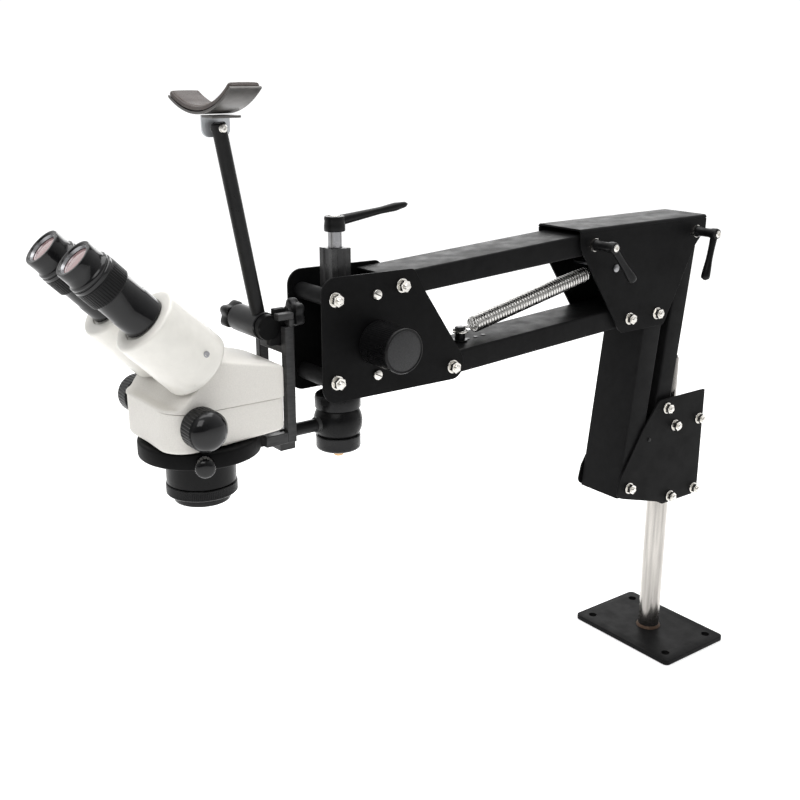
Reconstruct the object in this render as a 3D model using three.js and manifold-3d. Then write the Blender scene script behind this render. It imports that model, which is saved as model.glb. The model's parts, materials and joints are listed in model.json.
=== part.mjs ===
// Stereo microscope on a two-stage sprung bench arm.
// Millimetres. +Z up, +X towards the column, -Y the side with the focus knob.
// The group "stand" has its zero on the top face of the base plate, so the
// finished part has its origin on the plate's underside, on the column's axis.
import * as THREE from 'three';
import { mergeVertices } from 'three/addons/utils/BufferGeometryUtils.js';
import Module from 'manifold-3d';

const wasm = await Module();
wasm.setup();

// ---- driving dimensions -------------------------------------------------

const GAP = 0.3;                       // clearance between neighbouring pieces
const SEG = 8;                         // facets round a small cylinder
const SEG_LARGE = 16;                  // facets round a large cylinder

const PLATE = { x: 105, y: 148, t: 6, corner: 6, holeInset: 15.4, hole: 4.5 };
const COLUMN = { r: 12.5, top: 345 };

const SHEET = 2;                       // thickness of the side plates
const LOWER_HALF = 30.5;               // half width over the lower bracket and elbow
const HEAD_HALF = 28.2;                // half width over the head plates
const BOLT_R = 3;                      // M6 bolts through every bracket

// Pivots as [x, z]. Both stages are parallelograms, so each upper pivot is a
// lower pivot plus the stage's link, and the rear pair is the front pair offset.
const plus = (a, b) => [a[0] + b[0], a[1] + b[1]];
const LOWER_LINK = [26.3, 197.6];
const REAR_OFFSET = [56, 84];
const TUBE_FOOT = [-88.8, 213.4];
const LINK_FOOT = plus(TUBE_FOOT, REAR_OFFSET);
const TUBE_HEAD = plus(TUBE_FOOT, LOWER_LINK);
const LINK_HEAD = plus(LINK_FOOT, LOWER_LINK);
const UPPER_LINK = [-241, -13.5];
const BEAM_OFFSET = [59.5, -84.3];
const UPPER_REAR = [-165.6, 495.2];
const LOWER_REAR = plus(UPPER_REAR, BEAM_OFFSET);
const UPPER_FRONT = plus(UPPER_REAR, UPPER_LINK);
const LOWER_FRONT = plus(LOWER_REAR, UPPER_LINK);

const BLOCK_Z = [187, 274];            // heights of the two clamp blocks
const BLOCK_BOLTS_X = [-17, 25.5];
const SPRING_PIN = [-131.6, 467.5];
const SPRING_POST = [-315, 0];         // foot of the post, x only

const MAST = { x: -458.5, half: 9.8, bottom: 386, top: 517 };
const PINION = { x: -437, z: 435, teeth: 16, module: 1 };
const HEAD_SPACERS = [[-478, 477.6], [-477.4, 404.2]];
const GUIDE_SCREWS = [[-434.5, 477], [-434.5, 404.2]];

const BALL = { z: 359, r: 22.5 };
const OPTIC_X = -597.5;                // optical axis of the microscope
const CARRIER = { x0: -526.5, x1: -518, y0: 18, y1: 25.5, bottom: 358, crossTop: 443, top: 459.6 };
const TILT = [-535.5, 459];            // headrest tilt axis
const REAR_KNOB = { y: -12.9, z: 468, r: 13 };      // screws into the headrest clamp from behind
const ZOOM = [-622, 399];

const SEAM_Z = 407;
const BINO = { x: -608.4, z: 441.5, y: 32, tilt: -Math.PI / 4 };

// ---- materials ----------------------------------------------------------

const finish = (color, roughness, metalness) =>
  new THREE.MeshStandardMaterial({ color, roughness, metalness });
const PAINT = finish(0x1c1c1d, 0.55, 0.3);
const STEEL = finish(0xc9c7c2, 0.22, 1);
const ZINC = finish(0xd8d3c8, 0.3, 1);
const DARK_STEEL = finish(0x6a6a6c, 0.4, 0.9);
const ANODISED = finish(0x202022, 0.4, 0.7);
const PLASTIC = finish(0x141414, 0.4, 0);
const IVORY = finish(0xe4e0d8, 0.5, 0);
const LEATHER = finish(0x4b3b35, 0.6, 0);
const GLASS = finish(0xb9a0a0, 0.05, 0.1);

// ---- geometry helpers ---------------------------------------------------

function toSolid(geometry) {
  const bare = geometry.index ? geometry.toNonIndexed() : geometry.clone();
  bare.deleteAttribute('normal');
  bare.deleteAttribute('uv');
  const merged = mergeVertices(bare, 1e-4);
  const mesh = new wasm.Mesh({
    numProp: 3,
    vertProperties: new Float32Array(merged.attributes.position.array),
    triVerts: new Uint32Array(merged.index.array),
  });
  return new wasm.Manifold(mesh);
}

function toGeometry(solid) {
  const mesh = solid.getMesh();
  const geometry = new THREE.BufferGeometry();
  geometry.setAttribute('position', new THREE.BufferAttribute(mesh.vertProperties, 3));
  geometry.setIndex(new THREE.BufferAttribute(mesh.triVerts, 1));
  return geometry;
}

function join(...geometries) {
  const solids = geometries.map(toSolid);
  return toGeometry(solids.reduce((a, b) => a.add(b)));
}

function cut(geometry, ...tools) {
  const solids = tools.map(toSolid);
  return toGeometry(solids.reduce((a, b) => a.subtract(b), toSolid(geometry)));
}

function common(...geometries) {
  const solids = geometries.map(toSolid);
  return toGeometry(solids.reduce((a, b) => a.intersect(b)));
}

function box(x0, x1, y0, y1, z0, z1) {
  const geometry = new THREE.BoxGeometry(x1 - x0, y1 - y0, z1 - z0);
  return geometry.translate((x0 + x1) / 2, (y0 + y1) / 2, (z0 + z1) / 2);
}

// A turned piece about Z. The profile is [radius, height] pairs going up.
function turned(profile, segments = SEG) {
  const points = profile.map(([r, z]) => new THREE.Vector2(r, z));
  return new THREE.LatheGeometry(points, segments).rotateX(Math.PI / 2);
}

// The same, with its axis along -Y or X and its zero at [x, y, z].
const alongY = (geometry, x, y, z) => geometry.rotateX(Math.PI / 2).translate(x, y, z);
const alongX = (geometry, x, y, z) => geometry.rotateY(Math.PI / 2).translate(x, y, z);

const rod = (r, z0, z1, segments = SEG) => turned([[0, z0], [r, z0], [r, z1], [0, z1]], segments);

function tubing(outer, inner, z0, z1, segments = SEG) {
  return turned([[inner, z0], [outer, z0], [outer, z1], [inner, z1], [inner, z0]], segments);
}

// The radius of a faceted bore that a rod of radius r turns in freely.
const bearing = (r) => (r + GAP) / Math.cos(Math.PI / SEG);

// A rod across the arm at [x, z], from y0 to y1.
const crossRod = (r, [x, z], y0, y1) => alongY(rod(r, -y1, -y0), x, 0, z);

// An outline with rounded corners from [x, y, radius] points.
function outline(corners) {
  const shape = new THREE.Shape();
  const count = corners.length;
  corners.forEach(([x, y, r = 0], i) => {
    const [px, py] = corners[(i + count - 1) % count];
    const [nx, ny] = corners[(i + 1) % count];
    const before = Math.hypot(px - x, py - y);
    const after = Math.hypot(nx - x, ny - y);
    const start = [x + (px - x) * r / before, y + (py - y) * r / before];
    const end = [x + (nx - x) * r / after, y + (ny - y) * r / after];
    if (i === 0) shape.moveTo(...start);
    else shape.lineTo(...start);
    if (r > 0) shape.quadraticCurveTo(x, y, ...end);
  });
  shape.closePath();
  return shape;
}

// A round hole whose facets all lie outside the radius given.
function hole(shape, x, y, r, sides = SEG) {
  const reach = r / Math.cos(Math.PI / sides);
  const points = [];
  for (let i = 0; i < sides; i += 1) {
    const angle = -2 * Math.PI * i / sides;
    points.push(new THREE.Vector2(x + reach * Math.cos(angle), y + reach * Math.sin(angle)));
  }
  shape.holes.push(new THREE.Path(points));
}

// A flat shape in XZ made into a plate from y0 to y1.
function plateXZ(shape, y0, y1, curveSegments = 3) {
  const geometry = new THREE.ExtrudeGeometry(shape, {
    depth: y1 - y0, bevelEnabled: false, curveSegments,
  });
  return geometry.rotateX(Math.PI / 2).translate(0, y1, 0);
}

// A flat shape in XY made into a block from z0 to z1, its edges chamfered.
function blockXY(shape, z0, z1, chamfer = 0, curveSegments = 3) {
  const geometry = new THREE.ExtrudeGeometry(shape, {
    depth: z1 - z0 - 2 * chamfer, bevelEnabled: chamfer > 0, bevelSegments: 1,
    bevelSize: chamfer, bevelThickness: chamfer, bevelOffset: -chamfer, curveSegments,
  });
  return geometry.translate(0, 0, z0 + chamfer);
}

function node(name, geometry, material, parent) {
  const mesh = new THREE.Mesh(geometry, material);
  mesh.name = name;
  parent.add(mesh);
  return mesh;
}

// ---- fasteners ----------------------------------------------------------

const WASHER = { r: 6.6, t: 1.3 };
const NUT = { r: 5.6, t: 5 };

// A bolt across two plates, with a washer and a nut outside each.
function crossBolt(at, half) {
  const face = half + GAP;
  const end = face + WASHER.t + NUT.t + 2.6;
  const side = [[WASHER.r, face], [WASHER.r, face + WASHER.t], [NUT.r, face + WASHER.t],
    [NUT.r, end - 2.6], [BOLT_R, end - 2.6], [BOLT_R, end], [0, end]];
  const mirrored = side.map(([r, z]) => [r, -z]).reverse();
  return alongY(turned([...mirrored, [BOLT_R, -face], [BOLT_R, face], ...side]), at[0], 0, at[1]);
}

// A small round-headed screw entering from the side given by its sign.
function panScrew([x, z], face, side) {
  const screw = turned([[0, -6], [1.8, -6], [1.8, GAP], [4.2, GAP], [3.6, 2.6], [0, 2.6]]);
  if (side > 0) screw.rotateX(Math.PI);
  return alongY(screw, x, side * face, z);
}

// ---- base and column ----------------------------------------------------

function basePlate(parent) {
  const hx = PLATE.x / 2;
  const hy = PLATE.y / 2;
  const shape = outline([[-hx, -hy, PLATE.corner], [hx, -hy, PLATE.corner],
    [hx, hy, PLATE.corner], [-hx, hy, PLATE.corner]]);
  for (const sx of [-1, 1]) {
    for (const sy of [-1, 1]) {
      hole(shape, sx * (hx - PLATE.holeInset), sy * (hy - PLATE.holeInset), PLATE.hole, 16);
    }
  }
  node('base_plate', blockXY(shape, -PLATE.t, 0, 0, 6), PAINT, parent);
}

// A stainless tube closed at the top, with the weld's fillet at its foot.
function column(parent) {
  const { r, top } = COLUMN;
  const inside = r - 2.5;
  const tube = turned([[0, top - 6], [inside, top - 6], [inside, GAP], [r + 4, GAP], [r + 1.6, 1.8],
    [r, 5], [r, top], [r - 1, top + 2.5], [0, top + 2.5]], SEG_LARGE);
  node('column', tube, STEEL, parent);
}

// ---- lower bracket ------------------------------------------------------

function lowerBracket(parent) {
  const corners = [[-109, 206.5, 7.5], [-96, 201.5, 5], [-25, 180.5, 8], [33, 180.5, 3], [33, 308.5, 2],
    [-46, 308.5, 8], [-71, 279, 3], [-104, 227, 6]];
  const bolts = [LINK_FOOT, TUBE_FOOT];
  for (const z of BLOCK_Z) {
    bolts.push(...BLOCK_BOLTS_X.map((x) => [x, z]));
  }
  for (const [name, y0] of [['near', -LOWER_HALF], ['far', LOWER_HALF - SHEET]]) {
    const shape = outline(corners);
    for (const [x, z] of bolts) hole(shape, x, z, BOLT_R + GAP);
    node(`lower_bracket_plate_${name}`, plateXZ(shape, y0, y0 + SHEET), PAINT, parent);
  }
  ['lower', 'upper'].forEach((name, i) => {
    node(`clamp_block_${name}`, clampBlock(BLOCK_Z[i]), PAINT, parent);
  });
  node('tube_foot_bolt', crossBolt(TUBE_FOOT, LOWER_HALF), ZINC, parent);
  node('link_foot_bolt', crossBolt(LINK_FOOT, LOWER_HALF), ZINC, parent);
}

// A block clamped round the column, with its two through bolts.
function clampBlock(z) {
  const half = LOWER_HALF - SHEET - GAP;
  const shape = outline([[-26, z - 9.5, 1], [32.5, z - 9.5, 1], [32.5, z + 9.5, 1], [-26, z + 9.5, 1]]);
  const bolts = BLOCK_BOLTS_X.map((x) => crossBolt([x, z], LOWER_HALF));
  const bore = rod(COLUMN.r + GAP, z - 20, z + 20, SEG_LARGE);
  return cut(join(plateXZ(shape, -half, half), ...bolts), bore);
}

// ---- links and beams ----------------------------------------------------

// A rectangular tube between two pivots, with a bearing tube welded across it
// at each pivot. depth is its size in the XZ plane and half its half width.
function linkTube(from, to, half, depth, pastFrom, pastTo, shift = 0) {
  const wall = 2;
  const length = Math.hypot(to[0] - from[0], to[1] - from[1]);
  const d = depth / 2;
  const outer = box(-pastFrom, length + pastTo, -half, half, shift - d, shift + d);
  const inner = box(-pastFrom - 1, length + pastTo + 1, -half + wall, half - wall,
    shift - d + wall, shift + d - wall);
  const bearings = [0, length].map((x) => crossRod(6, [x, 0], -half, half));
  const bores = [0, length].map((x) => crossRod(BOLT_R + GAP, [x, 0], -half - 1, half + 1));
  const tube = cut(join(cut(outer, inner), ...bearings), ...bores);
  tube.rotateY(-Math.atan2(to[1] - from[1], to[0] - from[0]));
  return tube.translate(from[0], 0, from[1]);
}

function lowerStage(parent) {
  const half = LOWER_HALF - SHEET - 0.6;
  const tube = linkTube(TUBE_FOOT, TUBE_HEAD, half, 30, 12, 13);
  const webCut = box(-120, -92, -half + 2, half - 2, 190, 211);
  node('main_tube', cut(tube, webCut), PAINT, parent);
  node('rear_link', linkTube(LINK_FOOT, LINK_HEAD, 24, 25, 9.5, 6.6), PAINT, parent);
}

function upperStage(parent) {
  node('upper_beam', linkTube(UPPER_FRONT, UPPER_REAR, 25.5, 22, 12, 9), PAINT, parent);
  const beam = linkTube(LOWER_FRONT, LOWER_REAR, 25.5, 22, 10, 15, 1.5);
  node('lower_beam', cut(beam, rod(3, 380, 440).translate(SPRING_POST[0], 0, 0)), PAINT, parent);
  springPost(parent);
}

// The post that holds the spring's front end, bolted to the lower beam.
const POST_FOOT = 412.2;
const POST_TOP = 424;
function springPost(parent) {
  const post = turned([[0, POST_FOOT - 10], [2.6, POST_FOOT - 10], [2.6, POST_FOOT], [6.5, POST_FOOT],
    [6.5, POST_TOP - 3.5], [8.5, POST_TOP - 3.5], [8.5, POST_TOP - 2], [5.2, POST_TOP - 2],
    [5.2, POST_TOP + 2], [0, POST_TOP + 3]]);
  node('spring_post', post.translate(SPRING_POST[0], 0, 0), ZINC, parent);
}

// The counterbalance spring, as the tube that its coils fill.
function balanceSpring(parent) {
  const from = [-305, 424.5];
  const to = [-140, 459.6];
  const length = Math.hypot(to[0] - from[0], to[1] - from[1]);
  const coil = tubing(8.5, 6.2, 0, length, SEG);
  coil.rotateY(Math.PI / 2 - Math.atan2(to[1] - from[1], to[0] - from[0]));
  node('balance_spring', coil.translate(from[0], 0, from[1]), ZINC, parent);
}

// ---- elbow --------------------------------------------------------------

function elbow(parent) {
  const corners = [[-185.5, 511.8, 1], [-184, 492, 4], [-122, 401, 3.5], [-116, 396.5, 3.5], [-50, 396.5, 5],
    [-6.5, 479, 3], [10, 496, 3], [10, 511.8, 1]];
  const profile = plateXZ(outline(corners), -LOWER_HALF, LOWER_HALF);
  const inside = box(-200, 20, -LOWER_HALF + SHEET, LOWER_HALF - SHEET, 380, 511.8 - SHEET);
  const pivots = [UPPER_REAR, LINK_HEAD, LOWER_REAR, TUBE_HEAD];
  const bores = [...pivots, SPRING_PIN].map((at) => crossRod(BOLT_R + GAP, at, -40, 40));
  node('elbow_housing', cut(profile, inside, ...bores), PAINT, parent);
  node('beam_rear_bolt', crossBolt(LOWER_REAR, LOWER_HALF), ZINC, parent);
  node('tube_head_bolt', crossBolt(TUBE_HEAD, LOWER_HALF), ZINC, parent);
  node('spring_pin', springPin(), ZINC, parent);
}

function springPin() {
  const face = LOWER_HALF + GAP;
  const pin = turned([
    [0, -face - 2], [4, -face - 1.4], [4, -face], [2.6, -face], [2.6, face], [4, face],
    [4, face + 1.4], [0, face + 2],
  ]);
  return alongY(pin, SPRING_PIN[0], 0, SPRING_PIN[1]);
}

// ---- clamping levers ----------------------------------------------------

// A handle lever with its own stud, which a beam or link pivots on. The stud
// runs through the elbow to a washer and nut on the far side.
function clampLever(name, at, angle, parent) {
  const near = LOWER_HALF + GAP;
  const hub = turned([
    [0, -near - 8.4], [BOLT_R, -near - 8.4], [BOLT_R, -near - 6], [NUT.r, -near - 6],
    [NUT.r, -near - 1.3], [WASHER.r, -near - 1.3], [WASHER.r, -near], [BOLT_R, -near],
    [BOLT_R, near], [6.2, near], [6.2, near + 3], [4.8, near + 5], [4.8, near + 20],
    [5.6, near + 22], [5.6, near + 29.5], [0, near + 29.5],
  ]);
  const arm = turned([[0, 3], [3.4, 3], [3.8, 38], [4.8, 42], [4.8, 48], [2.8, 51], [0, 51]]);
  arm.rotateY(Math.PI / 2 - angle).translate(0, -near - 25, 0);
  const lever = join(hub.rotateX(Math.PI / 2), arm);
  node(name, lever.translate(at[0], 0, at[1]), PLASTIC, parent);
}

// The long lever on top of the mast tightens the ball joint.
const TOP_LEVER = { hub: 531, r: 9.2, height: 13.5, reach: 79 };
function topLever(parent) {
  const { hub, r, height, reach } = TOP_LEVER;
  const inner = bearing(6);
  const body = turned([[inner, 0], [r, 0], [r, height - 3], [r - 1.6, height], [0, height],
    [0, height - 5], [inner, height - 5], [inner, 0]]);
  const arm = turned([[0, 2], [4.6, 8], [3.4, 40], [2.9, 62], [3.6, 68], [3.2, reach], [0, reach + 1]]);
  arm.scale(1, 1.3, 1).rotateY(Math.PI / 2).rotateY(-0.12).translate(0, 0, height - 5);
  const bore = rod(inner, -1, height - 5);
  const lever = cut(join(body, arm), bore);
  node('top_clamp_lever', lever.translate(MAST.x, 0, hub), PLASTIC, parent);
}

// ---- head ---------------------------------------------------------------

function head(parent) {
  const corners = [[-491.5, 385.8, 14], [-334, 384.6, 13], [-334, 405, 7], [-380, 473.5, 2],
    [-392.5, 495, 8], [-491.5, 497, 14]];
  const bolts = [...HEAD_SPACERS, UPPER_FRONT, LOWER_FRONT];
  for (const [name, y0] of [['near', -HEAD_HALF], ['far', HEAD_HALF - SHEET]]) {
    const shape = outline(corners);
    for (const [x, z] of bolts) hole(shape, x, z, BOLT_R + GAP);
    for (const [x, z] of GUIDE_SCREWS) hole(shape, x, z, 2.1);
    hole(shape, PINION.x, PINION.z, 4.4);
    node(`head_plate_${name}`, plateXZ(shape, y0, y0 + SHEET), PAINT, parent);
  }
  node('upper_front_bolt', crossBolt(UPPER_FRONT, HEAD_HALF), ZINC, parent);
  node('lower_front_bolt', crossBolt(LOWER_FRONT, HEAD_HALF), ZINC, parent);
  const reach = HEAD_HALF - SHEET - GAP;
  ['upper', 'lower'].forEach((name, i) => {
    const [x, z] = HEAD_SPACERS[i];
    const spacer = join(crossRod(7.5, [x, z], -reach, reach), crossBolt([x, z], HEAD_HALF));
    node(`head_spacer_${name}`, spacer, ZINC, parent);
  });
  node('pinion_block', pinionBlock(reach), ANODISED, parent);
}

// The block behind the mast that carries the pinion, with its four screws.
function pinionBlock(reach) {
  const back = -425;
  const front = MAST.x + MAST.half + GAP;
  const shape = outline([[front, 395], [back, 395, 3], [back, 486, 3], [front, 486]]);
  const screws = [];
  for (const at of GUIDE_SCREWS) {
    screws.push(panScrew(at, HEAD_HALF, -1), panScrew(at, HEAD_HALF, 1));
  }
  const rackSlot = box(front - 1, -442.6, -5.6, 5.6, 390, 490);
  const gearRoom = crossRod(10, [PINION.x, PINION.z], -6, 6);
  const shaftBore = crossRod(4.4, [PINION.x, PINION.z], -40, 40);
  return cut(join(plateXZ(shape, -reach, reach), ...screws), rackSlot, gearRoom, shaftBore);
}

// ---- rack and pinion ----------------------------------------------------

const PRESSURE = THREE.MathUtils.degToRad(20);
const BACKLASH = 0.24;                 // taken off every tooth, across its flank

// Polar half angle of an involute tooth at radius r.
function toothHalfAngle(r) {
  const pitch = PINION.teeth * PINION.module / 2;
  const base = pitch * Math.cos(PRESSURE);
  const involute = (angle) => Math.tan(angle) - angle;
  const atPitch = (Math.PI * PINION.module / 4 - BACKLASH / 2) / pitch;
  const angle = Math.acos(Math.min(1, base / r));
  return atPitch + involute(PRESSURE) - involute(angle);
}

function pinionShape() {
  const pitch = PINION.teeth * PINION.module / 2;
  const root = pitch - 1.25 * PINION.module;
  const tip = pitch + 0.9 * PINION.module;
  const base = pitch * Math.cos(PRESSURE) + 0.01;
  const radii = [root, base, (base + tip) / 2, tip];
  const points = [];
  for (let tooth = 0; tooth < PINION.teeth; tooth += 1) {
    const centre = Math.PI + (tooth + 0.5) * 2 * Math.PI / PINION.teeth;
    for (const r of radii) {
      const angle = centre - toothHalfAngle(Math.max(r, base));
      points.push(new THREE.Vector2(r * Math.cos(angle), r * Math.sin(angle)));
    }
    for (const r of [...radii].reverse()) {
      const angle = centre + toothHalfAngle(Math.max(r, base));
      points.push(new THREE.Vector2(r * Math.cos(angle), r * Math.sin(angle)));
    }
  }
  return new THREE.Shape(points);
}

function focusDrive(parent) {
  const gear = plateXZ(pinionShape(), -5, 5).translate(PINION.x, 0, PINION.z);
  const shaft = crossRod(4, [PINION.x, PINION.z], -44, HEAD_HALF + 4);
  node('focus_pinion', join(gear, shaft), STEEL, parent);
  const knob = turned([[4 + GAP, 1], [16, 1], [20, 5], [20, 43.5], [18.6, 45], [0, 45], [0, 17],
    [4 + GAP, 17], [4 + GAP, 1]], SEG_LARGE);
  node('focus_knob', alongY(knob, PINION.x, -HEAD_HALF, PINION.z), PLASTIC, parent);
}

// The rack on the back of the mast, in mesh with the pinion at rest.
function rack() {
  const pitchLine = PINION.x - PINION.teeth * PINION.module / 2;
  const step = Math.PI * PINION.module;
  const back = MAST.x + MAST.half - 0.5;
  const count = 21;
  const bottom = PINION.z - 7.5 * step;
  const slope = Math.tan(PRESSURE);
  const halfTooth = step / 4 - BACKLASH / 2;
  const rootHalf = halfTooth + 1.2 * slope;
  const tipHalf = halfTooth - 0.85 * slope;
  const shape = new THREE.Shape();
  shape.moveTo(back, bottom);
  for (let i = 0; i < count; i += 1) {
    const centre = bottom + (i + 0.5) * step;
    shape.lineTo(pitchLine - 1.2, centre - rootHalf);
    shape.lineTo(pitchLine + 0.85, centre - tipHalf);
    shape.lineTo(pitchLine + 0.85, centre + tipHalf);
    shape.lineTo(pitchLine - 1.2, centre + rootHalf);
  }
  shape.lineTo(back, bottom + count * step);
  shape.closePath();
  return plateXZ(shape, -5, 5);
}

// ---- mast and ball joint ------------------------------------------------

function mast(parent) {
  const { x, half, bottom, top } = MAST;
  const groove = 1.2;
  const corners = [];
  const side = [[-half, -half], [-4.5, -half], [-3.3, -half + groove], [3.3, -half + groove], [4.5, -half]];
  for (let turn = 0; turn < 4; turn += 1) {
    const c = Math.round(Math.cos(turn * Math.PI / 2));
    const s = Math.round(Math.sin(turn * Math.PI / 2));
    for (const [px, py] of side) corners.push([x + c * px - s * py, s * px + c * py]);
  }
  const shape = outline(corners);
  hole(shape, x, 0, 6 + GAP);
  node('focus_mast', join(blockXY(shape, bottom, top, 0, 6), rack()), ANODISED, parent);
  const cup = turned([[3.4, 371.6], [18.6, 371.6], [21, 373], [21, 382], [19.6, 385.7], [3.4, 385.7],
    [3.4, 371.6]], SEG_LARGE);
  const seat = new THREE.SphereGeometry(BALL.r + GAP + 0.3, SEG_LARGE, 10).rotateX(Math.PI / 2);
  node('ball_cup', cut(cup, seat.translate(0, 0, BALL.z)).translate(x, 0, 0), PAINT, parent);
}

function drawRod(parent) {
  const cap = turned([[3.4, 332.7], [19, 332.7], [20.5, 334.5], [20.5, 346.4], [3.4, 346.4], [3.4, 332.7]],
    SEG_LARGE);
  const seat = new THREE.SphereGeometry(BALL.r + GAP + 0.3, SEG_LARGE, 10).rotateX(Math.PI / 2);
  node('ball_cap', cut(cap, seat.translate(0, 0, BALL.z)).translate(MAST.x, 0, 0), PAINT, parent);
  const pull = turned([[0, 328.2], [3, 328.2], [4.6, 329.2], [4.6, 332.4], [BOLT_R, 332.4],
    [BOLT_R, 388], [6, 390], [6, 538.5], [0, 538.5]]);
  node('draw_rod', pull.translate(MAST.x, 0, 0), STEEL, parent);
}

const BOOM = { r: 6, x0: -525, x1: MAST.x - 12 };
// The ball with its boom in one piece, slotted for the draw rod.
function ball(parent) {
  const sphere = new THREE.SphereGeometry(BALL.r, SEG_LARGE, 10).rotateX(Math.PI / 2);
  const slot = box(-9.5, 9.5, -3.6, 3.6, -30, 30);
  const boom = alongX(rod(BOOM.r, BOOM.x0, BOOM.x1), 0, 0, BALL.z);
  const solid = join(cut(sphere, slot).translate(MAST.x, 0, BALL.z), boom);
  node('ball_joint', solid, PLASTIC, parent);
}

// ---- carrier ------------------------------------------------------------

function carrier(parent) {
  const { x0, x1, y0, y1, bottom, crossTop, top } = CARRIER;
  const bars = [];
  for (const side of [-1, 1]) {
    const a = Math.min(side * y0, side * y1);
    const b = Math.max(side * y0, side * y1);
    bars.push(box(x0, x1, a, b, bottom, side < 0 ? top : crossTop));
    bars.push(box(-548, x1, a, b, bottom, bottom + 9.6));
  }
  bars.push(box(x0, x1, -y0 - 1, y0 + 1, crossTop - 6.6, crossTop));
  bars.push(box(x1 - 4, x1, -y1, -y0, top - 1, top + 7));
  bars.push(box(-532.5, x1 + 0.5, -y1, -y0, top + 6.4, top + 12));
  bars.push(box(x0 - 3.5, x1 + 3, -y0 - 1, y0 + 1, 349, 369));
  const boomBore = alongX(rod(BOOM.r + GAP, -540, -500), 0, 0, BALL.z);
  node('carrier_frame', cut(join(...bars), boomBore), DARK_STEEL, parent);
  holderRing(parent);
  clampHousing(parent);
}

const RING = { outer: 51, inner: 38.2, z0: 360, z1: 374, screwZ: 367 };
const SCREW_Y = -RING.outer - 2;
const SCREW_TURN = THREE.MathUtils.degToRad(-23);   // round the optical axis, towards the front
function holderRing(parent) {
  const { outer, inner, z0, z1 } = RING;
  const ring = tubing(outer, inner, z0, z1, 24).translate(OPTIC_X, 0, 0);
  const lugs = [-1, 1].map((side) => {
    const y = side * (CARRIER.y0 + CARRIER.y1) / 2;
    return box(-556, -548 - GAP, y - 3.5, y + 3.5, z0, z1 - 5.5);
  });
  const tap = alongY(rod(2.4, 30, 60), 0, 0, RING.screwZ).rotateZ(SCREW_TURN).translate(OPTIC_X, 0, 0);
  node('holder_ring', cut(join(ring, ...lugs), tap), PAINT, parent);
}

function ringScrew(parent) {
  const profile = [[0, -13.5], [2.1, -13.5], [2.1, 0], [4.5, 0], [4.5, 3], [8.2, 4.5], [8.2, 13], [6.5, 15],
    [0, 15]];
  const screw = alongY(turned(profile), 0, SCREW_Y, RING.screwZ).rotateZ(SCREW_TURN);
  node('ring_screw', screw.translate(OPTIC_X, 0, 0), PLASTIC, parent);
}

// The black clamp on the upper cross bar that the headrest turns in.
function clampHousing(parent) {
  const [x, z] = TILT;
  const barTop = CARRIER.crossTop + GAP;
  const disc = alongY(rod(10.8, 9, 16.8, 16), x, 0, z);
  const foot = box(x, CARRIER.x1 - 1, -16.8, -9, barTop, z + 7);
  const stud = crossRod(bearing(4), TILT, -30, 0);
  const boss = box(x + 5, CARRIER.x1 - 1, -16.8, -9, z, REAR_KNOB.z + 6);
  const rearBore = alongX(rod(3 + GAP, -530, -500), 0, REAR_KNOB.y, REAR_KNOB.z);
  node('headrest_clamp', cut(join(disc, foot, boss), stud, rearBore), PAINT, parent);
}

// A five-lobed knob about Z with a stud, its back face at zero.
function starKnob(studR, studLength, r = 12.5, thick = 12) {
  const points = [];
  const count = 20;
  for (let i = 0; i < count; i += 1) {
    const angle = 2 * Math.PI * i / count;
    const radius = r * (0.9 + 0.1 * Math.cos(5 * angle));
    points.push(new THREE.Vector2(radius * Math.cos(angle), radius * Math.sin(angle)));
  }
  const grip = blockXY(new THREE.Shape(points), 2.5, 2.5 + thick, 1.2);
  const core = turned([[0, -studLength], [studR, -studLength], [studR, 0], [6, 0], [6, 3], [0, 3]]);
  return join(grip, core);
}

function carrierKnob(parent) {
  const knob = alongX(starKnob(3, 9, REAR_KNOB.r, 9), CARRIER.x1 + 1.3, REAR_KNOB.y, REAR_KNOB.z);
  node('carrier_star_knob', knob, PLASTIC, parent);
}

// ---- headrest -----------------------------------------------------------

const POST_LEAN = THREE.MathUtils.degToRad(-10.45);
const POST_LENGTH = 163.8;
const PIN_REACH = 165;                 // from the tilt axis to the cradle's pin
const SLEEVE = { r: 11.8, y0: -8.6, y1: 36 };

function headrestArm(parent) {
  const [x, z] = TILT;
  const sleeve = alongY(tubing(SLEEVE.r, 4 + GAP, -SLEEVE.y1, -SLEEVE.y0, 16), 0, 0, 0);
  const socket = rod(6 + GAP, 5, 30).rotateY(POST_LEAN);
  node('tilt_sleeve', cut(sleeve, socket).translate(x, 0, z), DARK_STEEL, parent);
  const post = cut(rod(6, 5.4, 5.4 + POST_LENGTH), crossRod(2 + GAP, [0, PIN_REACH], -10, 10));
  node('headrest_post', post.rotateY(POST_LEAN).translate(x, 0, z), PAINT, parent);
}

function tiltKnob(parent) {
  const knob = starKnob(4, SLEEVE.y1 + 25, 13, 13).rotateX(Math.PI);
  node('tilt_star_knob', alongY(knob, TILT[0], SLEEVE.y1 + GAP, TILT[1]), PLASTIC, parent);
}

// The cradle: a trough along X, bent to an arc, carried on an L-shaped bracket.
const CRADLE = { x: -568.5, z: 632.2, r: 96, half: 33.5, length: 27, roll: -0.08 };
function cradleArc(inner, outer, length) {
  const half = THREE.MathUtils.degToRad(CRADLE.half);
  const shape = new THREE.Shape();
  shape.absarc(0, 0, outer, -Math.PI / 2 - half, -Math.PI / 2 + half, false);
  shape.absarc(0, 0, inner, -Math.PI / 2 + half, -Math.PI / 2 - half, true);
  shape.closePath();
  const geometry = new THREE.ExtrudeGeometry(shape, {
    depth: length, bevelEnabled: false, curveSegments: 7,
  });
  geometry.rotateX(Math.PI / 2).rotateZ(Math.PI / 2);
  return geometry.translate(-length / 2, 0, CRADLE.r);
}

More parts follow.
